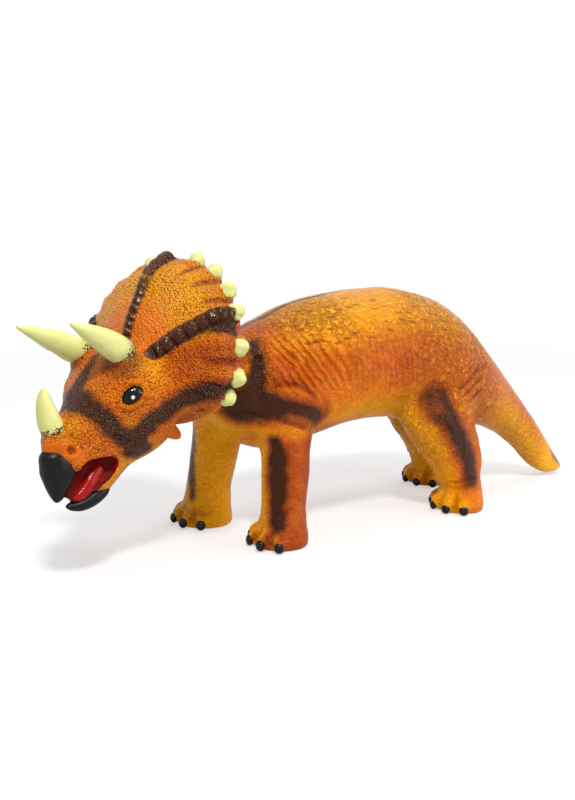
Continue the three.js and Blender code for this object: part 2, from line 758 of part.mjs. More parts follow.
let torso = solid(trunkForm(0)).subtract(solid(trunkForm(-skinWall, trunkHollowSides)));
torso = torso.intersect(seamBlock(-trunkLength, -fitGap / 2)).subtract(plugHole);
let filling = solid(trunkForm(-hollowGap, trunkHollowSides));
filling = filling.intersect(seamBlock(-trunkLength, -tailSpigot - fitGap));
for (const leg of legs) {
  const seat = solid(legForm(leg, fitGap));
  torso = torso.subtract(seat);
  filling = filling.subtract(seat);
  filling = filling.add(solid(legForm(leg, -hollowGap, cutOverrun, hollowSides)));
  figure.add(meshOf(leg.name, legSkin(leg), skinOrange));
  addClaws(figure, leg);
}
const tailFilling = solid(trunkForm(-2 * hollowGap, hollowSides));
torso = torso.subtract(headCut);
filling = filling.subtract(headCut);
filling = filling.add(tailFilling.intersect(seamBlock(-tailSpigot - cutOverrun, trunkLength)));
filling = filling.add(solid(neckForm(-hollowGap, cutOverrun)));
filling = filling.add(solid(headHollow(-hollowGap), head.matrix));
const plug = solid(trunkForm(plugProud))
  .subtract(solid(trunkForm(-skinWall, trunkHollowSides)))
  .intersect(plugTool(plugRadius));
figure.add(
  head,
  meshOf('torso_skin', torso, skinOrange),
  meshOf('belly_plug', plug, skinOrange),
  meshOf('fibre_filling', filling, fibreWhite),
  meshOf('tail_skin', tailSkin(), skinOrange),
);

// The middle of the footprint becomes the origin, with the soles on the floor.
const reach = new THREE.Box3().setFromObject(figure, true);
const middle = reach.getCenter(new THREE.Vector3());
figure.position.set(-middle.x, -middle.y, -reach.min.z);
const whole = new THREE.Group();
whole.add(figure);

export default whole;
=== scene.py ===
import math

import bpy
import numpy as np
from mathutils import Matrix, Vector


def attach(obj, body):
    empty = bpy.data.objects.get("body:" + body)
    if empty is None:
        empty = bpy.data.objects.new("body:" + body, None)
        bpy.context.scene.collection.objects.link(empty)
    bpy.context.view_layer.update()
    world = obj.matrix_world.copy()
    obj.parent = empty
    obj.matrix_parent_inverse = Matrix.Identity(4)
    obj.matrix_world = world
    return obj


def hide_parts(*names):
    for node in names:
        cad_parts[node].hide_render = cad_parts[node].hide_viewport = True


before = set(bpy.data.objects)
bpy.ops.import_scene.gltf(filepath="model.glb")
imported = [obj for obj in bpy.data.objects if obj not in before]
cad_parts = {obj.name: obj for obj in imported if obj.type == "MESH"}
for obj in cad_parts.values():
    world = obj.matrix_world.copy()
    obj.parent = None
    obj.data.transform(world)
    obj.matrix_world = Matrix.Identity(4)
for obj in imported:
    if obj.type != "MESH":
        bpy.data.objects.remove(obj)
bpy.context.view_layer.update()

# Camera. It stands at the animal's left front, a little above its back, and looks at the
# middle of the standing figure.
looked_at = Vector((-0.054539, 0.003435, 0.118))
camera_turn, camera_lift, camera_distance = math.radians(-31), math.radians(11), 0.9
lens_length, sensor_width = 44.1, 36


def aimed(name, data, stand, towards):
    """An object of that data in the scene: it stands there and looks towards the figure."""
    made = bpy.data.objects.new(name, data)
    made.location = stand
    made.rotation_mode = "QUATERNION"
    made.rotation_quaternion = towards.to_track_quat("-Z", "Y")
    bpy.context.scene.collection.objects.link(made)
    return made


level = math.cos(camera_lift)
camera_back = Vector((
    math.sin(camera_turn) * level,
    -math.cos(camera_turn) * level,
    math.sin(camera_lift),
))
camera_stand = looked_at + camera_back * camera_distance
camera = aimed("camera", bpy.data.cameras.new("camera"), camera_stand, -camera_back)
camera.data.lens, camera.data.sensor_width = lens_length, sensor_width
bpy.context.scene.camera = camera

# Body skin. The real torso, tail and legs are soft vinyl castings, bonded and painted over,
# so that one skin runs on without a seam; its folds, creases and scutes are cast in it.
# Sizes are millimetres on the drawing, whose origin is on the floor below the withers.
drawing_shift = np.array([-54.539, 3.435, 0.0])
trunk_length, back_height, trunk_width = 450, 216, 128
# Trunk rows, from the neck to the tip of the tail, in shares of the sizes above: the top
# point, the bottom point, the width, how high the widest place lies, how square the ring is
trunk_rows = np.array([
    [-0.271, 0.765, -0.271, 0.58, 0.4, 0.5, 2.0],
    [-0.211, 0.8, -0.211, 0.54, 0.56, 0.5, 2.0],
    [-0.173, 0.824, -0.173, 0.485, 0.66, 0.49, 2.0],
    [-0.133, 0.847, -0.133, 0.405, 0.77, 0.48, 2.0],
    [-0.058, 0.903, -0.058, 0.352, 0.9, 0.47, 2.1],
    [0.007, 0.954, 0.007, 0.382, 0.97, 0.47, 2.1],
    [0.102, 0.991, 0.102, 0.428, 1.0, 0.47, 2.1],
    [0.178, 1.004, 0.178, 0.436, 1.0, 0.47, 2.1],
    [0.256, 0.998, 0.256, 0.42, 1.0, 0.47, 2.1],
    [0.36, 0.937, 0.344, 0.355, 0.96, 0.47, 2.1],
    [0.437, 0.825, 0.4, 0.338, 0.82, 0.48, 2.1],
    [0.489, 0.727, 0.456, 0.34, 0.68, 0.48, 2.0],
    [0.533, 0.64, 0.502, 0.325, 0.56, 0.48, 2.0],
    [0.577, 0.543, 0.542, 0.298, 0.455, 0.5, 2.0],
    [0.634, 0.42, 0.589, 0.245, 0.36, 0.5, 2.0],
    [0.692, 0.29, 0.638, 0.168, 0.28, 0.5, 2.0],
    [0.741, 0.168, 0.684, 0.075, 0.21, 0.5, 2.0],
    [0.77, 0.096, 0.729, 0.022, 0.15, 0.5, 2.0],
    [0.788, 0.054, 0.762, 0.012, 0.09, 0.5, 2.0],
    [0.796, 0.036, 0.784, 0.016, 0.035, 0.5, 2.0],
])
# Leg rows, from the sole up, in shares of the leg's own sizes: the height, the swing from
# foot to hip, the reach ahead, behind and aside, the spread from the middle
front_leg_rows = np.array([
    [0.0, 0.0, 1.12, 1.02, 1.12, 1.0],
    [0.035, 0.0, 1.27, 1.12, 1.22, 1.0],
    [0.09, 0.02, 1.2, 1.08, 1.18, 1.0],
    [0.16, 0.1, 0.98, 0.98, 1.02, 1.0],
    [0.24, 0.2, 0.93, 0.93, 0.95, 1.0],
    [0.4, 0.5, 1.0, 1.0, 0.98, 0.98],
    [0.567, 0.8, 1.1, 1.02, 1.05, 0.95],
    [0.7, 1.0, 1.32, 1.18, 1.1, 0.92],
    [0.815, 1.0, 1.4, 1.4, 1.0, 0.86],
    [0.905, 1.0, 1.2, 1.2, 0.74, 0.74],
    [1.0, 1.0, 0.8, 0.8, 0.4, 0.62],
])
rear_leg_rows = np.array([
    [0.0, 0.0, 1.1, 0.85, 1.08, 1.0],
    [0.032, 0.0, 1.24, 0.9, 1.18, 1.0],
    [0.086, 0.02, 1.14, 0.9, 1.12, 1.0],
    [0.15, 0.08, 0.95, 0.97, 1.0, 1.0],
    [0.215, 0.25, 1.0, 1.16, 0.98, 1.0],
    [0.29, 0.42, 1.18, 1.54, 1.0, 0.98],
    [0.409, 0.75, 1.5, 1.82, 1.1, 0.95],
    [0.559, 1.0, 2.0, 1.88, 1.22, 0.91],
    [0.72, 1.02, 2.15, 1.82, 1.2, 0.84],
    [0.86, 1.1, 1.7, 1.3, 0.8, 0.7],
    [1.0, 1.3, 1.0, 0.6, 0.4, 0.56],
])
foot_spread = 46
# Each leg: name, side, foot, hip, radius, height and its rows
legs = [
    ("front_left", -1, -33, -26, 21, 150, front_leg_rows),
    ("front_right", 1, -62, -46, 22.5, 150, front_leg_rows),
    ("rear_left", -1, 173, 145, 21, 160, rear_leg_rows),
    ("rear_right", 1, 210, 184, 21, 160, rear_leg_rows),
]
toe_angles = np.radians([-54, -19, 17, 52])
toe_size = (11, 8, 9)
body_voxel = 1.8


def in_frame(points):
    """Millimetres of the drawing as metres of the frame: shifted, then a thousandth."""
    return (np.asarray(points) + drawing_shift) * 0.001


def full_turn(count):
    """Angles all round, evenly spaced."""
    return np.linspace(0, 2 * np.pi, count, endpoint=False)


def in_plane(x, z, y=0):
    """Points in the middle plane, or beside it by y."""
    return np.stack([x, 0 * x + y, z], -1)


def between_rows(rows, places):
    """Each column at a fractional row number, on the cubic that runs through the rows and
    leaves each of them with half the step between its two neighbours."""
    places = np.atleast_1d(places)
    i = np.clip(np.floor(places).astype(int), 0, len(rows) - 2)
    t = (places - i)[:, None]
    before, after = np.maximum(i - 1, 0), np.minimum(i + 2, len(rows) - 1)
    a, b, c, d = rows[before], rows[i], rows[i + 1], rows[after]
    leaving, arriving = (c - a) / 2, (d - b) / 2
    bend = 3 * (c - b) - 2 * leaving - arriving
    close = 2 * (b - c) + leaving + arriving
    return b + t * (leaving + t * (bend + t * close))


def rings(centre, side, up, wide, rise, drop, fullness, angles):
    """Rounded outlines: from each centre, the cosine of the angle goes along side and its sine
    along up, both raised to 2 / fullness, times the reach aside, up or down."""
    c, n = np.cos(angles), np.sin(angles)
    wide, rise, drop, fullness = (np.reshape(v, (-1, 1)) for v in (wide, rise, drop, fullness))
    centre, side, up = (np.reshape(v, (-1, 1, 3)) for v in (centre, side, up))
    power = 2 / fullness
    across = np.sign(c) * np.abs(c) ** power * wide
    tall = np.sign(n) * np.abs(n) ** power * np.where(n > 0, rise, drop)
    return centre + across[..., None] * side + tall[..., None] * up


def midline_rings(rows, length, height, width, places, angles):
    """Rings that stand between the top and the bottom point of a midline: the row gives both
    points, the half width, how high the widest place lies and how square the ring is."""
    top_x, top_z, low_x, low_z, wide, widest, fullness = between_rows(rows, places).T
    top = in_plane(top_x * length, top_z * height)
    low = in_plane(low_x * length, low_z * height)
    tall = np.linalg.norm(top - low, axis=1)
    up = (top - low) / tall[:, None]
    centre = low + up * (tall * widest)[:, None]
    reach = wide * width / 2, tall * (1 - widest), tall * widest
    return rings(centre, (0, 1, 0), up, *reach, fullness, angles)


def shell(grid):
    """Points and faces of a tube: quads join the neighbours along and round the grid, and a
    fan to the mean of the end ring closes each end. The faces look outwards."""
    rows, columns = grid.shape[:2]
    points = np.vstack([grid.reshape(-1, 3), grid[0].mean(0), grid[-1].mean(0)])
    i, k = np.meshgrid(np.arange(rows - 1), np.arange(columns), indexing="ij")
    n = (k + 1) % columns
    here, above = i * columns, (i + 1) * columns
    quads = np.stack([here + k, here + n, above + n, above + k], -1).reshape(-1, 4)
    k, n = k[0], n[0]
    end = (rows - 1) * columns
    first = np.stack([n, k, np.full(columns, rows * columns)], -1)
    last = np.stack([end + k, end + n, np.full(columns, rows * columns + 1)], -1)
    faces = [*quads.tolist(), *first.tolist(), *last.tolist()]
    a, b, c, d = (points[quads] - points.mean(0)).swapaxes(0, 1)
    volume = (a * np.cross(b, c) + a * np.cross(c, d)).sum()
    return points, faces if volume > 0 else [face[::-1] for face in faces]


def piece(name, *shells):
    """One object of all the shells, its place in its mesh."""
    start, points, faces = 0, [], []
    for shell_points, shell_faces in shells:
        points.append(shell_points)
        faces += [[v + start for v in face] for face in shell_faces]
        start += len(shell_points)
    mesh = bpy.data.meshes.new(name)
    mesh.from_pydata(in_frame(np.vstack(points)).tolist(), [], faces)
    mesh.shade_smooth()
    made = bpy.data.objects.new(name, mesh)
    bpy.context.scene.collection.objects.link(made)
    return made


def applied(made):
    """The object's modifiers become its mesh."""
    bpy.context.view_layer.update()
    evaluated = made.evaluated_get(bpy.context.evaluated_depsgraph_get())
    mesh = bpy.data.meshes.new_from_object(evaluated)
    made.modifiers.clear()
    made.data = mesh
    return made


def one_skin(made, voxel):
    """The outside of overlapping shells as one even skin, its faces voxel millimetres wide."""
    remesh = made.modifiers.new("skin", "REMESH")
    remesh.mode = "VOXEL"
    remesh.voxel_size = voxel * 0.001
    return applied(made)


def mesh_points(made):
    """The points in millimetres of the drawing, their normals and the edges."""
    mesh = made.data
    points, normals = np.zeros((2, len(mesh.vertices) * 3), np.float32)
    edges = np.zeros(len(mesh.edges) * 2, np.int32)
    mesh.vertices.foreach_get("co", points)
    mesh.vertices.foreach_get("normal", normals)
    mesh.edges.foreach_get("vertices", edges)
    drawn = points.reshape(-1, 3).astype(float) * 1000 - drawing_shift
    return drawn, normals.reshape(-1, 3).astype(float), edges.reshape(-1, 2)


def set_points(made, points):
    """The piece's points, from millimetres of the drawing."""
    made.data.vertices.foreach_set("co", in_frame(points).astype(np.float32).ravel())
    made.data.update()


def relaxed(points, edges, weight, passes, step=0.5):
    """Every pass moves each point towards the mean of its neighbours, by step times weight."""
    ends = np.concatenate([edges[:, 0], edges[:, 1]])
    others = np.concatenate([edges[:, 1], edges[:, 0]])
    count = np.bincount(ends, minlength=len(points))[:, None]
    for _ in range(passes):
        total = np.stack([np.bincount(ends, points[others, c], len(points)) for c in range(3)], 1)
        points = points + step * np.reshape(weight, (-1, 1)) * (total / count - points)
    return points


def ramp(value, first, last):
    """0 at first and 1 at last, whichever of them is higher, smooth at both, by 3t² - 2t³."""
    t = np.clip((value - first) / (last - first), 0, 1)
    return t * t * (3 - 2 * t)


def bell(far, width):
    """1 where far is 0, and e to the minus (far / width)² elsewhere."""
    return np.exp(-((far / width) ** 2))


def strongest(*layers):
    """The largest of all the layers, point by point."""
    return np.maximum.reduce(layers)


def cloud(points, size, seed):
    """Soft noise from -1 to 1: random values on a cubic lattice, size millimetres apart along
    each axis, blended by 3t² - 2t³."""
    lattice = np.random.default_rng(seed).uniform(-1, 1, (32, 32, 32))
    spot = np.asarray(points) / size
    cell = np.floor(spot).astype(int)
    t = spot - cell
    t = t * t * (3 - 2 * t)
    total = 0
    for corner in np.ndindex(2, 2, 2):
        share = np.prod(np.where(corner, t, 1 - t), axis=1)
        total = total + share * lattice[tuple(((cell + corner) % 32).T)]
    return total


def from_path(points, path):
    """Distance from each point to the nearest place of a path of straight runs, and how far
    along the path that place lies, from 0 to 1."""
    path = np.asarray(path, float)
    nearest = np.full(len(points), np.inf)
    along = np.zeros(len(points))
    for i, (a, b) in enumerate(zip(path[:-1], path[1:])):
        t = np.clip((points - a) @ (b - a) / ((b - a) @ (b - a)), 0, 1)
        far = np.linalg.norm(points - a - t[:, None] * (b - a), axis=1)
        closer = far < nearest
        nearest = np.where(closer, far, nearest)
        along = np.where(closer, (i + t) / (len(path) - 1), along)
    return nearest, along


def leg_centres(leg, height):
    """A leg's centre line at the given heights: it swings from the foot to the hip."""
    _, side, foot, hip, _, tall, rows = leg
    swing = np.interp(height / tall, rows[:, 0], rows[:, 1])
    across = np.interp(height / tall, rows[:, 0], rows[:, 5])
    return foot + (hip - foot) * swing, side * foot_spread * across


def leg_shell(leg):
    """A leg's rings, level and stacked from the sole to the hip inside the trunk."""
    _, side, foot, hip, radius, tall, rows = leg
    places = np.linspace(0, len(rows) - 1, 90)
    high, swing, ahead, behind, wide, across = between_rows(rows, places).T
    centre = np.stack([foot + (hip - foot) * swing, side * foot_spread * across, high * tall], 1)
    reach = wide * radius, ahead * radius, behind * radius
    return shell(rings(centre, (0, 1, 0), (-1, 0, 0), *reach, 2, full_turn(72)))


def egg(centre, along, size, up=(0, 0, 1)):
    """An egg round a point: rings from pole to pole along up, size its half length along,
    its half width and its half height."""
    along, up = np.asarray(along, float), np.asarray(up, float)
    turn = full_turn(28)[:, None]
    slope = np.linspace(-np.pi / 2, np.pi / 2, 17)[1:-1, None, None]
    flat = np.cos(turn) * along * size[0] + np.sin(turn) * np.cross(up, along) * size[1]
    return shell(np.asarray(centre) + np.cos(slope) * flat + np.sin(slope) * up * size[2])


def toe_places(leg):
    """Where a foot's toes sit and which way they point, fanned out in front of the foot."""
    _, side, foot, _, radius, _, _ = leg
    point = np.stack([-np.cos(toe_angles), np.sin(toe_angles), 0 * toe_angles], 1)
    return np.array([foot, side * foot_spread, toe_size[2] - 0.3]) + point * radius, point


ring_angles = full_turn(120)
trunk_places = np.linspace(0, len(trunk_rows) - 1, 200)
trunk_sizes = trunk_length, back_height, trunk_width
trunk = shell(midline_rings(trunk_rows, *trunk_sizes, trunk_places, ring_angles))
toes = [egg(place, point, toe_size) for leg in legs for place, point in zip(*toe_places(leg))]
leg_shells = [leg_shell(leg) for leg in legs]
body_skin = one_skin(piece("body_skin", trunk, *leg_shells, *toes), body_voxel)

points, normals, edges = mesh_points(body_skin)
points = relaxed(points, edges, 1, 3)
# Where a leg runs up into the trunk the skin is stretched smooth
joins = 0
for leg in legs:
    middle_x, middle_y = leg_centres(leg, np.clip(points[:, 2], 60, 150))
    far = np.hypot(points[:, 0] - middle_x, (points[:, 1] - middle_y) * 0.8)
    near_hip = ramp(points[:, 2], 62, 84) * ramp(points[:, 2], 160, 128)
    joins = np.maximum(joins, ramp(far, 62, 34) * near_hip)
points = relaxed(points, edges, joins, 60)
points[:, 2] = np.maximum(points[:, 2], 0)
set_points(body_skin, points)


def both_sides(points):
    """Points brought to the left side: the right legs stand apart from the left ones along
    the animal, and that step fades out above the legs."""
    x, y, z = points.T
    step = np.interp(x, [-60, 190], [-25, 38]) * (y > 0) * ramp(z, 150, 105)
    return np.stack([x - step, -np.abs(y), z], 1)


def crease(left, path, width, depth):
    """A groove along a path with a low lip on both sides, and thinner ends: the deepest at the
    path, by a bell of the distance over the width."""
    far, along = from_path(left, path)
    ends = ramp(along, -0.02, 0.18) * ramp(along, 1.02, 0.82)
    return ends * depth * (0.35 * bell(far - 2 * width, width) - bell(far, width))


points, normals, _ = mesh_points(body_skin)
left = both_sides(points)
x, y, z = left.T
outward = -normals[:, 1] * np.where(points[:, 1] > 0, -1, 1)
trunk_top = np.interp(x, trunk_rows[:, 0] * trunk_length, trunk_rows[:, 1] * back_height)
trunk_low = np.interp(x, trunk_rows[:, 2] * trunk_length, trunk_rows[:, 3] * back_height)
height = (z - trunk_low) / (trunk_top - trunk_low)
on_leg = ramp(z, 112, 88)
relief = np.zeros(len(points))

# Folds: slanting behind the shoulder, running along the belly, crossing at the tail's root,
# and one over the ankle
shoulder_folds = [
    [(-30, -44, 172), (-14, -55, 158), (-2, -60, 142)],
    [(-18, -46, 176), (-6, -56, 160), (6, -61, 140)],
    [(-8, -48, 177), (4, -57, 163), (14, -62, 143)],
    [(4, -50, 177), (14, -58, 164), (24, -62, 142)],
    [(-40, -42, 170), (-27, -52, 155), (-18, -57, 141)],
    [(-24, -46, 178), (-8, -50, 177), (8, -52, 178)],
    [(16, -52, 176), (24, -59, 163), (31, -62, 146)],
]
belly_folds = [
    [
        (-88, -22, 119), (-80, -34, 121), (-66, -43, 120), (-52, -49, 116),
        (-39, -60, 113), (-25, -64, 108), (-17, -64, 104),
    ],
    [(-2, -58, 104), (24, -58, 106), (50, -56, 108), (76, -54, 110)],
]
root_folds = [
    [(148, 0, 121), (162, 0, 127), (174, 0, 135), (184, 0, 144)],
    [(154, 0, 115), (170, 0, 121), (188, 0, 131), (200, 0, 142)],
    [(164, 0, 108), (176, 0, 112), (196, 0, 120)],
    [(176, 0, 134), (192, 0, 140), (204, 0, 144)],
]
for fold in shoulder_folds:
    relief += crease(left, fold, 2.1, 1.5)
for fold in belly_folds:
    relief += crease(left, fold, 2.4, 1.5)
for fold in root_folds:
    relief += crease(left * (1, 0, 1), fold, 2.5, 1.0) * (y < -20)
ankle = [(146, -45, 33), (154, -60, 32), (166, -68, 34), (176, -60, 36)]
relief += crease(left, ankle, 2.0, 1.3)
on_ribs = ramp(x, 0, 26) * ramp(x, 130, 84)
on_ribs *= ramp(height, 0.22, 0.4) * ramp(height, 0.82, 0.62)
# Crinkled hide on the rump and thigh, puckered skin on the shoulder
crinkle = 1 - 2 * np.abs(cloud(left * (1, 1, 0.7), 5.5, 3))
soft = cloud(left, 13, 4)
on_rump = ramp(x + 16 * cloud(left, 24, 17), 62, 132) * ramp(x, 250, 195) * ramp(z, 36, 70)
on_withers = ramp(x, 60, 20) * ramp(z, 128, 150)
relief += 0.4 * crinkle * np.maximum(on_rump, 0.95 * on_withers) + 0.25 * soft
relief += 0.16 * crinkle * on_leg

# The muscle over the shoulder, a round hole in the band behind the frill
muscle = [(-44, -53, 132), (-33, -56, 132), (-20, -59, 127), (-9, -58, 117)]
muscle_edge = [(-51, -50, 138), (-40, -55, 144), (-25, -58, 143), (-12, -60, 134), (-3, -58, 121)]
muscle_far, _ = from_path(left, muscle)
relief += 2.6 * bell(muscle_far, 9) - 0.9 * bell(muscle_far - 15, 4)
relief += crease(left, muscle_edge, 2.4, 1.8)
pit_far = np.linalg.norm(left - (-53, -40, 165), axis=1)
relief += 1.4 * bell(pit_far - 4.6, 1.6) - 2.2 * bell(pit_far, 2.8)
# The seat of the plug under the belly
plug_place, plug_edge, plug_rim = 70, 12.2, 14.2
plug_far = np.hypot(points[:, 0] - plug_place, points[:, 1])
relief -= 1.3 * ramp(plug_far, plug_rim, plug_edge) * (normals[:, 2] < -0.4)
# Grooves between the toes, at these angles round the foot
toe_grooves = np.zeros(len(points))
for leg in legs:
    from_foot = points - (leg[2], leg[1] * foot_spread, 0)
    fan = np.degrees(np.arctan2(from_foot[:, 1], -from_foot[:, 0]))
    groove = sum(bell(fan - middle, 5) for middle in (-36, -1, 35))
    toe_grooves += 1.7 * groove * ramp(np.hypot(*from_foot[:, :2].T), 14, 24) * ramp(z, 26, 14)
# The sole stays flat on the floor
relief *= ramp(points[:, 2], 2, 14)
toe_grooves *= ramp(points[:, 2], 1, 6)

# Paint: cast in yellow, sprayed orange from outside and above, darker over the shoulder,
# flank and rump, with umber bands through a stencil. Light and shade are painted in too: the
# paler top of the back is partly painted light, the darker outer forelegs and the band
# behind the frill partly painted shade
mottle = cloud(left, 9, 5) + 0.6 * cloud(left, 4, 6)
under = ramp(height, 0.4, 0.06)
leg_spray = ramp(outward, -0.35, 0.55)
front_of_leg = np.zeros(len(points))
for leg in legs[::2]:
    middle_x, _ = leg_centres(leg, np.clip(z, 0, 150))
    front_of_leg = np.where(np.abs(x - middle_x) < 60, x - middle_x, front_of_leg)
thigh_front = ramp(front_of_leg, -2, -26) * (x > 90) * ramp(z, 128, 112)
trunk_spray = 1 - 0.92 * under
spray = on_leg * leg_spray * (1 - 0.75 * thigh_front) + (1 - on_leg) * trunk_spray
spray *= 1 - 0.85 * ramp(x, 195, 250) * ramp(height, 0.75, 0.25)
spray *= 1 - 0.85 * ramp(x, 286, 322) * ramp(height, 1.0, 0.7)
on_chest = ramp(x, -38, -66) * ramp(z, 120, 98)
spray = spray * (1 - 0.85 * on_chest)
# Less orange along the top of the back: paler there partly as its paint, partly as painted light
# from above.
spray *= 1 - 0.85 * ramp(height, 0.58, 0.9) * ramp(x, -50, 0) * ramp(x, 220, 150)
spray = np.clip(spray + 0.1 * mottle, 0, 1)
# Darker rust on the outer faces of the forelegs: partly their paint, partly painted shade.
outer_foreleg_rust_and_shade = on_leg * ramp(outward, 0.1, 0.7) * (x < 60)
rust = 0.95 * outer_foreleg_rust_and_shade
# Rust blots: the middle and the reach along the animal, the same upwards, and the strength
blots = [
    (-34, 40, 158, 26, 0.6), (92, 34, 152, 30, 0.55),
    (45, 60, 160, 16, 0.4), (-34, 16, 146, 9, 0.5),
]
for middle_x, long, middle_z, tall, strength in blots:
    rust += strength * bell(x - middle_x, long) * bell(z - middle_z, tall)
rust = np.clip(rust * (1 + 0.35 * mottle), 0, 1)


def sprayed_band(left, path, half_width, soft, frayed=0):
    """A sprayed band: full along its path and thinning out over soft millimetres past its
    half width, which may change from its start to its end; frayed moves that edge about."""
    far, along = from_path(left, path)
    reach = np.interp(along, np.linspace(0, 1, len(half_width)), half_width)
    return ramp(far + frayed, reach + soft * 0.75, reach - soft * 0.45)


shoulder_band = [
    (-70, -40, 128), (-58, -47, 127), (-45, -53, 125),
    (-30, -57, 122), (-16, -59, 119), (-5, -56, 113),
]
# The dark band behind the frill: partly umber paint, partly painted shade under the frill.
behind_frill_band_and_shade = [(-50, -29, 177), (-54, -39, 166), (-56, -46, 152), (-63, -47, 138), (-72, -42, 124)]
fore_stripe = [(-47, -57, 94), (-45, -58, 84), (-45, -58, 64), (-46, -59, 44), (-46, -61, 24)]
far_stripe = [(-74, 51, 92), (-74, 50, 78), (-76, 47, 61), (-78, 43, 43), (-79, 39, 28)]
hind_stripe = [
    (123, -58, 118), (130, -63, 105), (140, -66, 92),
    (152, -67, 73), (164, -65, 54), (167, -66, 35),
]
frayed = 1.3 * cloud(left, 8, 12) + 0.8 * cloud(left, 3, 13)
hind = sprayed_band(left, hind_stripe, [11, 11, 8.5, 7.5, 7, 6.5], 11, frayed)
hind *= 0.74 + 0.26 * ramp(x, 126, 142) + 0.2 * mottle * ramp(x, 150, 128)
back_line = ramp(np.abs(points[:, 1] - 2), 5.5, 2) * ramp(height, 0.85, 0.95)
umber = strongest(
    sprayed_band(left, shoulder_band, [15, 13, 10, 6.5, 7, 6], 11, frayed),
    # Partly painted shade under the frill.
    sprayed_band(left, behind_frill_band_and_shade, [4, 5.5, 7, 11, 10], 11, frayed),
    sprayed_band(left, fore_stripe, [5.5, 7.5, 8, 7, 6], 10, frayed),
    0.85 * sprayed_band(points, far_stripe, [5, 6, 6, 5, 4], 6, frayed),
    hind,
    # Partly painted shade on the outer forelegs.
    0.16 * outer_foreleg_rust_and_shade,
    0.8 * back_line * ramp(x, 84, 30) * ramp(x, -120, -100),
    0.75 * back_line * ramp(x, 316, 334),
    0.7 * ramp(x, 322, 345) * ramp(height, 0.4, 0.7),
)
umber = np.clip(umber * (1 + 0.12 * mottle), 0, 1)
rust = np.clip(strongest(
    rust,
    0.9 * sprayed_band(left, hind_stripe, [17, 16, 13, 12, 12], 12, frayed),
    0.85 * sprayed_band(left, shoulder_band, [22, 19, 16, 14, 13], 12, frayed),
    0.7 * sprayed_band(left, fore_stripe, [9, 11, 12, 11, 10], 9, frayed),
), 0, 1)

set_points(body_skin, points + (relief - toe_grooves)[:, None] * normals)
lowest = mesh_points(body_skin)[0]
lowest[:, 2] = np.maximum(lowest[:, 2], 0)
set_points(body_skin, lowest)


def keep(made, name, kind, values):
    """Values that a piece keeps point by point, under a name that its material reads."""
    field = {"FLOAT": "value", "FLOAT_VECTOR": "vector", "FLOAT_COLOR": "color"}[kind]
    kept = made.data.attributes.new(name, kind, "POINT")
    kept.data.foreach_set(field, values.astype(np.float32).ravel())


def painted(made, spray, rust, umber, relief, *textures):
    """The sprayed paints with the cast relief, from which the material paints shade where it
    sinks, and the shares of the four cast textures: crumpled hide, wrinkles, scutes and scales."""
    for name, shares in (("coats", (spray, rust, umber, 0.5 + relief / 3)), ("forms", textures)):
        keep(made, name, "FLOAT_COLOR", np.clip(np.stack(shares, 1), 0, 1))


# The textures: hide crumples on rump and withers; wrinkles run down behind the shoulder and
# along the ribs, and round the tail; scutes lie along the back
off_umber = 1 - 0.65 * umber
off_tip = ramp(x, 330, 300)
crumple = 0.24 + 0.76 * np.maximum(on_rump * (0.55 + 0.45 * ramp(height, 0.1, 0.5)), on_withers)
crumple = np.maximum(crumple, 0.5 * ramp(height, 0.5, 0.66) * ramp(x, -40, 0))
crumple = np.maximum(crumple, 0.45 * ramp(x, 180, 215)) * (0.2 + 0.8 * off_tip) * off_umber
on_shoulder = ramp(x, -46, -34) * ramp(x, 50, 10)
on_shoulder *= ramp(z, 132, 142) * ramp(z, 190, 176)
crumple *= 1 - 0.75 * on_shoulder
round_tail = ramp(x, 165, 195) * off_tip * ramp(height, 0.85, 0.5)
wrinkles = strongest(
    on_shoulder,
    0.8 * on_ribs * (0.65 + 0.35 * cloud(left, 14, 9)),
    0.45 * (0.6 + 0.4 * cloud(left, 11, 8)) * round_tail,
) * off_umber
scutes = ramp(height, 0.62, 0.76) * ramp(x, -40, -10) * ramp(x, 190, 150)
scutes = np.maximum(scutes, 0.8 * ramp(height, 0.7, 0.85) * ramp(x, 140, 170) * ramp(x, 320, 300))
scutes *= ramp(height, 1.0, 0.97) * ramp(cloud(left, 16, 16), -0.5, 0.0)
textures = crumple, wrinkles, scutes, 0.25 * off_tip * off_umber
# The relief goes along, the toe grooves deeper in it, for the painted shade where it sinks.
painted(body_skin, spray, rust, umber, relief - 0.3 * toe_grooves, *textures)
behind_shoulder = 0.87 * x + 0.5 * (z - 150) + 8
along_ribs = x + 0.12 * (z - 150)
down_tail = 0.75 * (x - 175) - 0.65 * (z - 110) + 175
places = behind_shoulder + (along_ribs - behind_shoulder) * ramp(x, 0, 40)
places = places + (down_tail - places) * ramp(x, 140, 200)
keep(body_skin, "flow", "FLOAT", 2 * np.pi * places / 6.2)
# The girth tells a point by its way along the back and round it, in scutes
round_back = 72 * np.arctan2(z - (trunk_top + trunk_low) / 2, -y)
girth = np.stack([(x - 0.3 * round_back) / 20, (round_back + 0.3 * x) / 11, 0 * x], 1)
keep(body_skin, "girth", "FLOAT_VECTOR", girth)


def paint_colour(red, green, blue):
    """A colour as it looks on a screen, 0 to 255, as the shader's linear light: v to 2.2."""
    return (*((np.array([red, green, blue]) / 255) ** 2.2), 1.0)


def give(socket, value):
    """The socket takes a value: another socket by a link, a number or a colour as it is."""
    if isinstance(value, bpy.types.NodeSocket):
        socket.id_data.links.new(value, socket)
    else:
        socket.default_value = value


def add(tree, kind, **settings):
    """A node of that kind; every setting is one of its sockets by name or its own property."""
    node = tree.nodes.new(kind)
    for name, value in settings.items():
        socket = node.inputs.get(name.replace("_", " "))
        if socket is None or hasattr(node, name):
            setattr(node, name, value)
        else:
            give(socket, value)
    return node


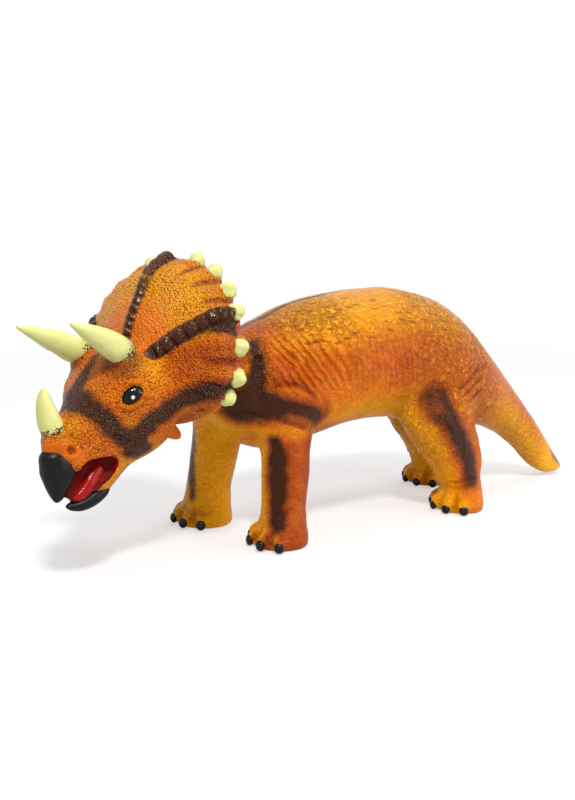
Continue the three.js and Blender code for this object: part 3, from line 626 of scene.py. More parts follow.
def mixed(share, first, second):
    """Two colours mixed by a share, a socket; each may be a socket or a fixed colour."""
    node = add(share.id_data, "ShaderNodeMix", data_type="RGBA")
    for place, value in ((0, share), (6, first), (7, second)):
        give(node.inputs[place], value)
    return node.outputs[2]


def number(operation, first, second=0.0, held=True):
    """One sum of two values, at least one of them a socket; held, it stays from 0 to 1."""
    tree = (first if isinstance(first, bpy.types.NodeSocket) else second).id_data
    node = add(tree, "ShaderNodeMath", operation=operation, use_clamp=held)
    give(node.inputs[0], first)
    give(node.inputs[1], second)
    return node.outputs[0]


def times(first, second, held=True):
    """The first value times the second."""
    return number("MULTIPLY", first, second, held)


def plus(first, second, held=True):
    """The two values added up."""
    return number("ADD", first, second, held)


def minus(first, second, held=True):
    """The first value less the second."""
    return number("SUBTRACT", first, second, held)


def ranged(value, low, high, to_low=0.0, to_high=1.0):
    """The value moved from between low and high to between to_low and to_high, held there."""
    limits = {"From_Min": low, "From_Max": high, "To_Min": to_low, "To_Max": to_high}
    return add(value.id_data, "ShaderNodeMapRange", Value=value, **limits).outputs["Result"]


def noise(place, scale, **settings):
    """Soft noise in as many lumps to a metre as scale says."""
    node = add(place.id_data, "ShaderNodeTexNoise", Vector=place, Scale=scale, **settings)
    return node.outputs["Fac"]


def read(tree, name, output="Fac"):
    """What the piece keeps point by point under that name."""
    return add(tree, "ShaderNodeAttribute", attribute_name=name).outputs[output]


def four_shares(tree, name):
    """The four shares that the piece keeps as one colour under that name."""
    colour = read(tree, name, "Color")
    parts = add(tree, "ShaderNodeSeparateColor", Color=colour).outputs
    return *parts, colour.node.outputs["Alpha"]


def new_material(name):
    """A material with its node tree, its shader and the place on the piece."""
    material = bpy.data.materials.new(name)
    material.use_nodes = True
    tree = material.node_tree
    place = add(tree, "ShaderNodeTexCoord").outputs["Object"]
    return material, tree, tree.nodes["Principled BSDF"], place


def surface(shader, colour, height, distance, roughness, shine):
    """The shader's colour, roughness and shine, and a height as relief of that many metres."""
    bump = add(shader.id_data, "ShaderNodeBump", Strength=1.0, Distance=distance, Height=height)
    for name, value in (
        ("Base Color", colour),
        ("Normal", bump.outputs["Normal"]),
        ("Roughness", roughness),
        ("Specular IOR Level", shine),
    ):
        give(shader.inputs[name], value)


def vinyl(name, grain, shine):
    """Painted soft vinyl: yellow stock under orange, rust and umber sprays that thin out in
    specks. Four cast textures add up to its height in millimetres, each times its share in
    the forms: crumpled hide is noise, wrinkles are a sine of the flow, scutes are short
    dashes on the girth with a pit beside each, and scales of that grain are round, 1 - d²
    high. Light and shade are painted in too: the raised crests are paler, partly painted
    light; the low places of the crumples, wrinkles and scales are darker, partly a wash that
    gathers there and partly painted shade; the pit beside each scute is painted shadow; and
    the colour deepens where the cast relief sinks, painted shade in creases and grooves. It
    reflects as much as shine says, and sharpest where it isn't scaly."""
    material, tree, shader, place = new_material(name)
    spray, rust, umber, relief_for_crease_shade = four_shares(tree, "coats")
    crumpled, wrinkled, plated, scaled = four_shares(tree, "forms")
    specks = noise(place, 420.0, Detail=3.0, Roughness=0.6)
    drift = noise(place, 60.0, Detail=2.0)

    crumple = noise(place, 245.0, Detail=3.0, Roughness=0.58, Distortion=0.9)
    swollen = ranged(crumple, 0.38, 0.61)
    # Each texture below gives a height and a share of darkening in its low places, partly a wash
    # that gathers there and partly painted shade.
    wash_and_shade_parts = [times(minus(1.0, swollen), crumpled)]
    heights = [times(times(swollen, crumpled), 2.9, False)]

    bent = plus(read(tree, "flow"), times(drift, 6.0, False), False)
    bent = plus(bent, times(crumple, 3.0, False), False)
    wave = times(plus(number("SINE", bent, 0.0, False), 1.0, False), 0.5)
    wash_and_shade_parts.append(times(minus(0.8, times(wave, 1.4)), wrinkled))
    heights.append(times(times(wave, wrinkled), 2.0, False))

    dashes = []
    for lift in (0.0, 0.21):
        spot = add(tree, "ShaderNodeVectorMath", operation="ADD")
        give(spot.inputs[0], read(tree, "girth", "Vector"))
        give(spot.inputs[1], (0.0, lift, 0.0))
        dash = add(
            tree, "ShaderNodeTexVoronoi", voronoi_dimensions="2D",
            Vector=spot.outputs["Vector"], Scale=1.0, Randomness=0.9,
        ).outputs["Distance"]
        dashes.append(times(ranged(dash, 0.25, 0.1), plated))
    pit = minus(dashes[1], dashes[0])
    # The pit beside each scute is painted darker: painted shadow of the scute.
    wash_and_shade_parts.append(times(pit, 2.4))
    heights.append(times(minus(dashes[0], pit, False), 1.2, False))

    scales = add(tree, "ShaderNodeTexVoronoi", Vector=place, Scale=1000 / grain, Randomness=0.85)
    scales = scales.outputs["Distance"]
    gaps = times(times(scales, scales), scaled)
    wash_and_shade_parts.append(times(gaps, 0.95))
    heights.append(times(gaps, -2.6, False))

    height, wash_and_shade = heights[0], wash_and_shade_parts[0]
    for more_height, more_wash_and_shade in zip(heights[1:], wash_and_shade_parts[1:]):
        height = plus(height, more_height, False)
        wash_and_shade = number("MAXIMUM", wash_and_shade, more_wash_and_shade)

    ragged = times(minus(specks, 0.5, False), 0.6, False)
    # Paler on the crests of crumples and scales: partly the paint, partly painted light.
    pale_crests_and_light = times(minus(0.5, wash_and_shade), number("MAXIMUM", crumpled, times(scaled, 0.4)))
    colour = mixed(plus(spray, ragged), paint_colour(246, 176, 2), paint_colour(222, 112, 3))
    for share, coat in (
        (times(drift, 0.2), (206, 92, 2)),
        (plus(rust, ragged), (168, 62, 2)),
        # The crests paler: partly the paint, partly painted light.
        (times(pale_crests_and_light, 0.45), (244, 154, 8)),
        # Darker in the low places: partly a wash that gathers there, partly painted shade.
        (times(wash_and_shade, 0.6), (158, 58, 3)),
        # Painted shade in creases, grooves and pits, where the cast relief sinks.
        (times(ranged(relief_for_crease_shade, 0.5, 0.1), 0.75), (112, 36, 2)),
        (times(umber, plus(ragged, 1.15, False)), (54, 19, 10)),
        (read(tree, "mouth_coat"), (118, 14, 14)),
    ):
        colour = mixed(share, colour, paint_colour(*coat))
    surface(shader, colour, height, 0.001, ranged(scaled, 0.0, 1.0, 0.18, 0.3), shine)
    shader.inputs["Specular Tint"].default_value = (1.0, 0.8, 0.5, 1.0)
    return material


body_skin.data.materials.append(vinyl("painted_vinyl_body", 2.4, 0.25))
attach(body_skin, "root")
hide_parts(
    "torso_skin", "tail_skin",
    "front_leg_left", "front_leg_right", "rear_leg_left", "rear_leg_right",
)

# Belly plug. A vinyl disc that closes the hole through which the fibre is blown in, pressed
# flush into the underside. It is the drawing's own solid, in the bare yellow of the stock.
def plain_gloss(name, first, second, size, roughness, bump, shine):
    """A glossy painted or moulded finish: two close tones in soft patches of that size in
    millimetres, and a fine unevenness of the surface."""
    material, _, shader, place = new_material(name)
    patches = noise(place, 1000 / size, Detail=4.0, Roughness=0.6)
    colour = mixed(patches, paint_colour(*first), paint_colour(*second))
    surface(shader, colour, patches, bump * 0.001, roughness, shine)
    return material


plug_vinyl = plain_gloss("plug_vinyl", (240, 166, 4), (228, 148, 4), 6, 0.26, 0.4, 0.22)
belly_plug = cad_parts["belly_plug"]
belly_plug.data.materials.clear()
belly_plug.data.materials.append(plug_vinyl)

# Fibre filling. Loose white polyester fibre, blown in through the hole in the belly until it
# fills the joined hollows. It never shows.
fibre_white, _, fibre_shader, fibre_place = new_material("polyester_fibre")
tufts = noise(fibre_place, 180.0, Detail=6.0, Distortion=1.5)
fibre_colour = mixed(tufts, paint_colour(246, 244, 238), paint_colour(224, 220, 210))
surface(fibre_shader, fibre_colour, tufts, 0.002, 0.95, 0.5)
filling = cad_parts["fibre_filling"]
filling.data.materials.clear()
filling.data.materials.append(fibre_white)

# Head skin. One vinyl casting on a neck plug: skull, cheeks, open jaw and the broad frill,
# concave behind, with a knobbly middle ridge and two glossy side ridges cast in it.
# Its own drawing starts at the neck joint: back, to the animal's right, and up the head.
neck_joint = np.array([-100.0, 0, 140])
pitch, yaw, roll = np.radians([35, 20, -6])
about_up = np.array([[np.cos(yaw), -np.sin(yaw), 0], [np.sin(yaw), np.cos(yaw), 0], [0, 0, 1]])
about_length = np.array([
    [1, 0, 0], [0, np.cos(roll), -np.sin(roll)], [0, np.sin(roll), np.cos(roll)],
])
about_side = np.array([
    [np.cos(pitch), 0, -np.sin(pitch)], [0, 1, 0], [np.sin(pitch), 0, np.cos(pitch)],
])
head_turn = about_up @ about_length @ about_side
snout_length, head_height, face_width = 150, 88, 88
head_rows = np.array([
    [-0.98, 0.67, -0.97, 0.54, 0.1, 0.5, 2.0],
    [-0.95, 0.775, -0.92, 0.36, 0.23, 0.5, 2.1],
    [-0.885, 0.86, -0.875, 0.06, 0.35, 0.5, 2.3],
    [-0.785, 0.845, -0.78, 0.03, 0.44, 0.5, 2.2],
    [-0.655, 0.88, -0.66, 0.05, 0.62, 0.5, 2.35],
    [-0.52, 0.945, -0.55, 0.01, 0.85, 0.5, 2.8],
    [-0.367, 0.975, -0.45, 0.0, 1.02, 0.48, 2.8],
    [-0.207, 0.86, -0.375, 0.07, 1.15, 0.44, 2.2],
    [-0.075, 0.96, -0.335, 0.1, 1.38, 0.39, 2.2],
    [0.07, 1.055, -0.315, 0.06, 1.66, 0.38, 2.3],
    [0.215, 1.13, -0.305, -0.02, 1.83, 0.385, 2.3],
    [0.38, 1.07, -0.285, -0.02, 1.81, 0.375, 2.15],
])
rim_row = len(head_rows) - 1
head_sizes = snout_length, head_height, face_width
first_voxel, head_voxel = 1.3, 1.25
brow_place, eye_place = (6.05, 66), (5.2, 19)
boss_size, boss_sunk = (14, 14, 14), 8
nub_length, nub_radius = 30, 9
horn_seat = 5
mouth_across = 60
sides = ((-1, "left"), (1, "right"))
frill_thickness, frill_hollow = 11, 24
# Behind the rim, the frill's back: depth as a share of the hollow, size as one of the rim
frill_back = [
    (0.02, 1.0), (0.0, 0.985), (0.12, 0.93), (0.33, 0.84),
    (0.62, 0.68), (0.85, 0.54), (1.0, 0.4), (1.02, 0.2),
]
mouth_outline = np.array([
    [-180, 39.6], [-140.2, 39.2], [-130.5, 41.8], [-118.5, 36.1], [-110.2, 27.7],
    [-110.2, 21.1], [-115.5, 16.3], [-129, 15.4], [-180, 29],
])


def on_head(points):
    """Points of the head's drawing on the body's drawing: turned, then moved to the neck."""
    return np.asarray(points) @ head_turn.T + neck_joint


def head_rings(places, angles):
    """The head's rings at those row numbers."""
    return midline_rings(head_rows, *head_sizes, places, angles)


def head_shell(grid, base=(0, 0, 0), axes=np.eye(3)):
    """A shell drawn on the head, or on axes that stand at a base on the head."""
    points, faces = shell(grid)
    return on_head(points @ axes + base), faces


def head_spots(places, angles, side):
    """Points on the head's skin at row numbers and angles above the side, in degrees, and the
    way the skin faces there: across both of its tangents."""
    places = np.atleast_1d(places).astype(float)
    angles = np.radians(np.atleast_1d(angles).astype(float))
    step = 0.05
    pick = np.arange(len(places))

    def spot(place, angle):
        point = head_rings(np.maximum(place, 0), angle)[pick, pick]
        return point * (1, side, 1)

    here = spot(places, angles)
    ahead, beside = spot(places - step, angles) - here, spot(places, angles + step) - here
    facing = np.cross(ahead, beside)
    facing /= np.linalg.norm(facing, axis=1)[:, None]
    middle = head_rings(places, np.array([0, np.pi])).mean(1)
    facing *= np.sign(((here - middle) * facing).sum(1))[:, None]
    return here, facing


def ridge_shell(places, side, radius, beads, swell):
    """A tube along the skin through row numbers and angles: its radius swells to its end and
    pinches between beads by the rectified sine of the way along."""
    steps = beads * 10
    t = np.linspace(0, 1, steps + 1)
    where = between_rows(np.asarray(places, float), t * (len(places) - 1))
    here, facing = head_spots(where[:, 0], where[:, 1], side)
    along = np.gradient(here, axis=0)
    along /= np.linalg.norm(along, axis=1)[:, None]
    across = np.cross(along, facing)
    across /= np.linalg.norm(across, axis=1)[:, None]
    up = np.cross(across, along)
    reach = radius * np.interp(t, np.linspace(0, 1, len(swell)), swell)
    reach *= 0.72 + 0.28 * np.abs(np.sin(np.pi * beads * t)) ** 0.45
    reach[[0, -1]] *= 0.4
    return head_shell(rings(here, across, up, reach, reach, reach, 2.5, full_turn(20)))


def standing(base, along, towards):
    """Three axes of something that stands on its base: the last is along, the first leans as
    far as it can towards, and the middle one is square to both."""
    up = np.asarray(along, float) / np.linalg.norm(along)
    side = np.cross(up, towards)
    side /= np.linalg.norm(side)
    return np.asarray(base, float), np.stack([np.cross(side, up), side, up])


def horn_shell(base, axes, rows, length, radius, bend, seat, lumps, seed):
    """A horn's rings up its own axis: they lean by bend times the square of the height, and
    the surface is uneven by lumps millimetres of soft noise."""
    rows = np.asarray(rows)
    high, wide = between_rows(rows, np.linspace(0, len(rows) - 1, 34)).T
    centre = in_plane(bend * high**2, high * length)
    centre[0, 2] -= seat
    reach = np.maximum(wide, 0.02) * radius
    grid = rings(centre, (0, 1, 0), (1, 0, 0), reach, reach, reach, 2, full_turn(32))
    uneven = cloud(grid.reshape(-1, 3) + 40, radius * 0.55, seed).reshape(*grid.shape[:2], 1)
    return head_shell(grid + (grid - centre[:, None]) / radius * lumps * uneven, base, axes)


skull = head_rings(np.linspace(0, rim_row, 190), ring_angles)
rim = skull[-1]
rim_middle = rim[[0, 60]].mean(0)
rim_up = rim[30] - rim[90]
rim_up /= np.linalg.norm(rim_up)
rim_back = np.cross([0, 1, 0], rim_up)
back_depth, back_share = np.array(frill_back).T
behind = rim_middle + (rim - rim_middle) * back_share[:, None, None]
behind = behind + rim_back * (frill_thickness - back_depth * frill_hollow)[:, None, None]
head_form = head_shell(np.concatenate([skull, behind]))

neck_rows = np.array([[0, 0.5], [0.25, 0.9], [0.5, 1], [0.92, 1], [1, 0.85]])
neck_length, neck_end, neck_radius, neck_height = 90, -76, 27, 144.7
neck_along, neck_wide = between_rows(neck_rows, np.linspace(0, len(neck_rows) - 1, 30)).T
neck_centre = in_plane(neck_end - neck_length * (1 - neck_along), 0 * neck_along + neck_height)
neck_reach = [neck_wide * neck_radius] * 3
neck = shell(rings(neck_centre, (0, 1, 0), (0, 0, 1), *neck_reach, 2, ring_angles))

horn_rows = [[0, 1], [0.12, 1], [0.3, 0.91], [0.5, 0.75], [0.7, 0.54], [0.88, 0.3], [1, 0.1]]
blunt_rows = [[0, 1], [0.12, 1], [0.3, 0.94], [0.5, 0.82], [0.7, 0.65], [0.88, 0.45], [1, 0.18]]
throat, _ = head_spots(9.4, -90, 1)
nub_stand = standing(throat[0], (0.36, 0, -1), (-1, 0, 0))
nub = horn_shell(*nub_stand, blunt_rows, nub_length, nub_radius, 0, horn_seat, 0.3, 11)
middle_places = [[7, 90], [9, 90], [11, 90]]
side_places = [[7.0, 51], [8.0, 41], [9.2, 31], [10.3, 25], [11, 22]]
ridges = [ridge_shell(middle_places, 1, 4.6, 12, [0.85, 0.95, 1.1, 1.35, 1.9])]
ridges += [ridge_shell(side_places, side, 6.0, 9, [1.3, 1.0, 0.95, 0.95, 0.9]) for side, _ in sides]
bosses = []
for side, _ in sides:
    brow, brow_facing = head_spots(*brow_place, side)
    boss_points, boss_faces = egg(brow[0] - brow_facing[0] * boss_sunk, (1, 0, 0), boss_size)
    bosses.append((on_head(boss_points), boss_faces))

head_skin = piece("head_skin_visual", head_form, neck, nub, *ridges, *bosses)
one_skin(head_skin, first_voxel)
# The open mouth goes right across the jaw
outline = np.vstack([mouth_outline, mouth_outline[:1]])
cut_line = between_rows(outline, np.linspace(0, len(outline) - 1, 72, endpoint=False))
cut_grid = np.stack([in_plane(*cut_line.T, across) for across in (-mouth_across, 0, mouth_across)])
mouth_cut = piece("mouth_cut", head_shell(cut_grid))
cutting = head_skin.modifiers.new("mouth", "BOOLEAN")
cutting.operation, cutting.solver, cutting.object = "DIFFERENCE", "EXACT", mouth_cut
applied(head_skin)
bpy.data.objects.remove(mouth_cut)
one_skin(head_skin, head_voxel)

points, _, edges = mesh_points(head_skin)
set_points(head_skin, relaxed(points, edges, 1, 4))
points, normals, _ = mesh_points(head_skin)
drawn = (points - neck_joint) @ head_turn
facing = normals @ head_turn
near_side = drawn * (1, 0, 1) - np.abs(drawn) * (0, 1, 0)
back_h, side_l, up_t = near_side.T
relief = np.zeros(len(points))

# Round the frill: the angle of each point about the rim's middle, told in spikes, and how
# far out it lies as a share of the rim
spike_angles = np.array([72, 55, 39, 25, 6, -14, -33])
about = near_side - rim_middle
left_rim = rim[30:91] - rim_middle
spike_seats = head_rings(float(rim_row), np.radians(180 - spike_angles))[0] - rim_middle


def rim_angle(about):
    """The angle round the rim's middle, on its left side."""
    return np.arctan2(about @ rim_up, -about[:, 1])


turned = rim_angle(about)
spike_phase = np.interp(-turned, -rim_angle(spike_seats), np.arange(7), left=-1, right=7)
rim_far = np.interp(-turned, -rim_angle(left_rim), np.linalg.norm(left_rim, axis=1))
out = np.hypot(about @ rim_up, about[:, 1]) / rim_far
depth = about @ rim_back
on_frill = ramp(depth, -62, -34) * ramp(depth, 9, 2) * ramp(out, 0.45, 0.7)
flutes = np.cos(2 * np.pi * spike_phase) + 0.25 * np.cos(6 * np.pi * spike_phase)
between_ends = ramp(spike_phase, -0.9, 0) * ramp(spike_phase, 6.8, 6)
relief += 1.5 * flutes * ramp(out, 0.66, 0.95) * ramp(depth, -34, -8) * between_ends
tatter = cloud(near_side, 3.2, 21)
relief += 0.5 * tatter * ramp(out, 0.9, 0.98) * ramp(np.abs(depth), 7, 3) * between_ends

# The eye's lid, the nostril, the lips and the folds of the cheek
eye_size = (9.3, 6.3, 4.8)


def eye_stand(side):
    """Where an eye's dome stands, a third of its height in the skull, and its three axes."""
    spot, facing = head_spots(*eye_place, side)
    return standing(spot[0] - facing[0] * eye_size[2] / 3, facing[0], (1, 0, -0.1))


eye_base, eye_axes = eye_stand(-1)
eye_away = (near_side - eye_base) @ eye_axes.T
eye_far = np.hypot(eye_away[:, 0] / 9.1, eye_away[:, 1] / 6.8)
by_eye = ramp(np.abs(eye_away[:, 2]), 14, 9)
relief += by_eye * (2.1 * bell(eye_far - 1.26, 0.2) - 1.2 * bell(eye_far, 0.8))
relief -= by_eye * 0.35 * bell(eye_far - 1.75, 0.2)
nostril_far = np.linalg.norm((near_side - (-132, -13.5, 57)) / (1.1, 2.4, 1.3), axis=1)
relief += 1.2 * bell(nostril_far - 4.6, 1.6) - 3.0 * bell(nostril_far, 2.6)
cheek_folds = [
    [(-106, -22, 24), (-99, -27, 19), (-90, -31, 15), (-78, -35, 11)],
    [(-104, -25, 46), (-99, -28, 36), (-96, -28, 28)],
    [(-60, -45, 20), (-48, -50, 14), (-36, -58, 12), (-24, -70, 12)],
    [(-92, -28, 68), (-84, -30, 74), (-74, -30, 78)],
]
for fold in cheek_folds:
    relief += crease(near_side, fold, 2.2, 1.2)
panel_edge = [(-126, -6, 72), (-124, -13, 65), (-124, -16, 56), (-126, -16, 47), (-134, -13, 43)]
relief += crease(near_side, panel_edge, 1.3, 0.8)
panel = [(-142, -6, 64), (-136, -10, 60), (-131, -14, 50)]
in_panel = sprayed_band(near_side, panel, [8, 7, 6], 3)
lumps = cloud(near_side, 9, 22)
goose = 1 - 2 * np.abs(cloud(near_side, 3.4, 23))
on_skull = ramp(back_h, -20, -40)
relief += 0.3 * lumps + 0.2 * goose * (1 - in_panel) * (0.6 + 0.4 * on_skull)

coats_noise = cloud(near_side, 8, 24) + 0.6 * cloud(near_side, 3.5, 25)
snout_band = [(-30, 0, 85), (-57, -1, 86), (-72, -1, 84), (-87, -1, 81), (-100, -3, 77)]
muzzle_band = [
    (-100, -4, 77), (-99, -13, 74), (-99, -24, 60),
    (-99.5, -27, 44), (-95, -28, 29), (-92, -28, 17),
]
cheek_band = [
    (-95, -28, 25), (-89, -32, 31), (-79, -38, 33), (-65, -43, 33),
    (-53, -48, 31), (-41, -57, 30), (-31, -68, 27), (-20, -74, 19),
]
cheek_shade = [(-30, -52, 52), (-16, -66, 46), (-6, -76, 42)]
edges_fray = 1.6 * cloud(near_side, 6, 26) + 0.8 * cloud(near_side, 2.6, 27)
side_path, _ = head_spots(*between_rows(np.array(side_places), np.linspace(0, 4, 9)).T, -1)
top_path, _ = head_spots([7, 8, 9, 10, 11], [90] * 5, -1)
# Grooves part the beads of the ridges
ridge_far, ridge_along = from_path(near_side, side_path)
across_ridge = 9 * ridge_along - np.round(9 * ridge_along)
relief -= 1.5 * bell(across_ridge, 0.16) * ramp(ridge_far, 9, 6)
top_far, top_along = from_path(near_side, top_path)
across_top = 13 * top_along - np.round(13 * top_along)
relief -= 1.1 * bell(across_top, 0.18) * ramp(top_far, 7, 4.5)
below_ridge = sprayed_band(near_side, side_path[4:] + (-3, 0, -8), [3, 6, 8, 9, 8], 4)
# Darker umber and rust round the foot of the brow horn, under it: painted shade of the horn.
from_horn_foot_shade = np.linalg.norm(near_side - (-58, -26, 82), axis=1)
umber = strongest(
    0.85 * sprayed_band(near_side, snout_band, [3.5, 4, 4.5, 6, 9], 6, edges_fray),
    0.95 * sprayed_band(near_side, muzzle_band, [9, 8.5, 6.5, 7, 8.5, 9], 7, edges_fray),
    sprayed_band(near_side, cheek_band, [9, 8, 7, 6.5, 6.5, 7, 7, 7], 7, edges_fray),
    ramp(ridge_far, 8.6, 6.2),
    0.95 * below_ridge * (depth < 4),
    0.9 * sprayed_band(near_side, top_path, [5.5, 5.5, 6, 7, 10], 3.5),
    # Painted shade under the brow horn.
    0.5 * ramp(from_horn_foot_shade, 21, 10) * ramp(-side_l, 8, 20),
)
umber = np.clip(umber * (1 + 0.1 * coats_noise), 0, 1)
before_muzzle = ramp(back_h, -112, -96)
rust = strongest(
    0.85 * sprayed_band(near_side, cheek_shade, [13, 14, 12], 12),
    0.75 * sprayed_band(near_side, cheek_band, [11, 11, 12, 13, 13], 12),
    0.8 * sprayed_band(near_side, muzzle_band[1:], [11, 9, 9, 11], 9) * before_muzzle,
    # Painted shade round the brow horn's foot.
    0.45 * ramp(from_horn_foot_shade, 30, 14),
    # Rust in the valleys of the flutes near the rim: painted shade in the folds.
    0.5 * ramp(out, 0.88, 0.99) * ramp(flutes, -1.1, 0.2) * (depth < 6),
    0.45 * (depth > 4),
    # The panel's rust is its paint; the rust in the nostril is painted shade in the pit.
    0.3 * in_panel + 0.6 * bell(nostril_far, 2.8),
)
rust = np.clip(rust * (1 + 0.3 * coats_noise), 0, 1)
# Bare yellow: behind the nose horn, at the temple and the cheek, under the jaw, and on the
# upper frill, which is paler partly as painted light
on_jaw = ramp(up_t, 30, 12) * ramp(back_h, -66, -94)
spray = 1 - 0.35 * ramp(back_h, -104, -122) * ramp(up_t, 34, 50) * (1 - in_panel)
for spot, wide, strength in (
    ((-118, -9, 70), 10, 0.8), ((-50, -38, 68), 15, 0.7), ((-86, -30, 42), 11, 0.5),
):
    spray -= strength * bell(np.linalg.norm(near_side - spot, axis=1), wide)
spray -= 0.9 * on_jaw
spray -= 0.75 * ramp(-facing[:, 2], 0.3, 0.8) * ramp(back_h, -20, -60)
# The upper frill paler: partly the yellow stock, partly painted light from above.
spray -= 0.7 * on_frill * ramp(up_t, 52, 84)
spray = np.clip(spray + 0.1 * coats_noise, 0, 1)

inner = (drawn[:, 0] > -160) & (np.abs(drawn[:, 1]) < 26)
lip_far, _ = from_path(near_side * (1, 0, 1), in_plane(*cut_line.T)[6:-6])
mouth_paint = inner * ramp(lip_far, 2.4, 0.9) * ramp(np.abs(facing[:, 1]), 0.85, 0.55)

set_points(head_skin, points + relief[:, None] * normals)
on_ridge = np.maximum(ramp(ridge_far, 8.6, 6.2), ramp(top_far, 7, 4.5))
scaly = 0.55 + 0.45 * np.maximum(on_skull, on_frill * (depth < 2))
scaly *= (1 - 0.9 * on_ridge) * (1 - 0.6 * on_jaw) * (1 - 0.9 * in_panel)
scaly *= (1 - 0.8 * ramp(depth, 1, 6)) * (1 - 0.35 * umber) * (1 - mouth_paint)
# The relief goes along for the painted shade where it sinks.
painted(head_skin, spray, rust, umber, relief, 0.16 * scaly, 0 * scaly, 0 * scaly, scaly)
keep(head_skin, "mouth_coat", "FLOAT", mouth_paint)
head_skin.data.materials.append(vinyl("painted_vinyl_head", 2.0, 0.36))
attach(head_skin, "root")
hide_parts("head_skin")


# Beaks. Two stiff black vinyl pieces set into the snout and the lower jaw, satin, slightly
# dented along their edges.
def finished(made, material, slot, *nodes):
    """A piece with its finish, riding on the figure in place of the drawing's solids."""
    made.data.materials.append(material)
    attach(made, "root")
    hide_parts(*nodes)


upper_beak_rows = np.array([
    [-0.93, 0.76, -0.83, 0.64, 0.55, 0.5, 2.0],
    [-0.985, 0.745, -0.85, 0.56, 0.9, 0.5, 2.0],
    [-1.02, 0.67, -0.87, 0.48, 1.0, 0.5, 2.1],
    [-1.048, 0.594, -0.89, 0.405, 0.96, 0.5, 2.1],
    [-1.073, 0.475, -0.965, 0.365, 0.66, 0.5, 2.0],
    [-1.083, 0.385, -1.035, 0.325, 0.28, 0.5, 2.0],
    [-1.08, 0.345, -1.065, 0.328, 0.08, 0.5, 2.0],
])
lower_beak_rows = np.array([
    [-0.815, 0.185, -0.8, 0.03, 0.74, 0.5, 2.0],
    [-0.86, 0.185, -0.86, 0.012, 0.94, 0.5, 2.1],
    [-0.935, 0.195, -0.935, 0.035, 0.86, 0.5, 2.1],
    [-0.995, 0.222, -1.0, 0.09, 0.62, 0.5, 2.0],
    [-1.035, 0.245, -1.04, 0.165, 0.3, 0.5, 2.0],
    [-1.05, 0.245, -1.052, 0.215, 0.1, 0.5, 2.0],
])
beak_width = 24
beak_black = plain_gloss("satin_black", (20, 20, 18), (10, 10, 9), 7, 0.36, 0.35, 0.2)
for name, rows in (("upper_beak", upper_beak_rows), ("lower_beak", lower_beak_rows)):
    places = np.linspace(0, len(rows) - 1, 48)
    beak_grid = midline_rings(rows, snout_length, head_height, beak_width, places, full_turn(48))
    middle = beak_grid.mean(1, keepdims=True)
    dents = cloud(beak_grid.reshape(-1, 3), 6, 31).reshape(*beak_grid.shape[:2], 1)
    beak = piece(name + "_visual", head_shell(middle + (beak_grid - middle) * (1 + 0.025 * dents)))
    finished(beak, beak_black, "beak_black", name)

# Mouth lining. A soft red insert between the jaws: the cheeks fall in from the lips to a
# narrow middle. Its deep red is partly painted shade inside the open mouth.
lining_outline = np.array([
    [-150, 33], [-140.5, 38.4], [-130, 41], [-118, 35.6], [-109.4, 28],
    [-109.4, 20.8], [-115.5, 15.6], [-127, 14.2], [-138, 17], [-149, 22], [-153, 27],
])
outline = np.vstack([lining_outline, lining_outline[:1]])
edge = between_rows(outline, np.linspace(0, len(lining_outline), 88, endpoint=False))
lining_middle = np.array([-128.0, 27.0])
share = np.concatenate([np.linspace(0.04, 0.86, 18), np.linspace(0.9, 1, 5)])
flat = lining_middle + (edge - lining_middle) * share[:, None, None]
lip_width = np.interp(flat[..., 0], [-153, -143, -128, -110], [2.5, 6.5, 12.5, 14.5])
middle_plane = in_plane(flat[..., 0], flat[..., 1])
uneven = cloud(middle_plane.reshape(-1, 3), 5, 33).reshape(flat.shape[:2])
half = lip_width * (0.36 + 0.64 * share[:, None] ** 2.6 + 0.05 * uneven)
near_face, far_face = (in_plane(flat[..., 0], flat[..., 1], y) for y in (-half, half))
# Dark red tones: the lining's red, partly darkened as painted shade inside the mouth.
mouth_red = plain_gloss("mouth_red", (102, 8, 9), (70, 4, 6), 14, 0.45, 0.5, 0.08)
lining = piece("mouth_lining_visual", head_shell(np.concatenate([near_face, far_face[::-1]])))
finished(lining, mouth_red, "mouth_red", "mouth_lining")

# Tongue. A brighter red, glossy vinyl tongue that lies on the lower jaw and reaches nearly
# to its tip, thick at its root and hollowed along its middle.
tongue_along = np.linspace(0, 1, 40)
tongue_path = np.array([
    [-113, 20.5], [-120, 22.5], [-129, 21.5], [-138, 20], [-146, 20], [-151.5, 22],
])
tongue_line = between_rows(tongue_path, tongue_along * (len(tongue_path) - 1))
tongue_shares = [0, 0.15, 0.5, 0.8, 0.94, 1]
tongue_wide = np.interp(tongue_along, tongue_shares, [4, 9.5, 9.8, 7.6, 4.8, 1])
tongue_tall = np.interp(tongue_along, tongue_shares, [5, 7.5, 7, 5.2, 3.4, 0.6])
tongue_reach = tongue_wide, tongue_tall, tongue_tall
tongue_turn = full_turn(40)
tongue_grid = rings(
    in_plane(*tongue_line.T), (0, 1, 0), (0, 0, 1), *tongue_reach, 2.4, tongue_turn,
)
tongue_grid[..., 2] -= 0.6 * bell(tongue_grid[..., 1], 2.2) * (np.sin(tongue_turn) > 0)
tongue_red = plain_gloss("tongue_red", (160, 20, 16), (128, 10, 10), 6, 0.22, 0.5, 0.2)
tongue = piece("tongue_visual", head_shell(tongue_grid))
finished(tongue, tongue_red, "tongue_red", "tongue")


# Horns. Three thick blunt horns of pale yellow-green vinyl, each on a seat in the skull; the
# sprayed skin ends in ragged brown specks round their feet.
def overpainted(material, share, paint):
    """The material with one more paint on it, as strong as the share."""
    base = material.node_tree.nodes["Principled BSDF"].inputs["Base Color"]
    give(base, mixed(share, base.links[0].from_socket, paint))
    return material


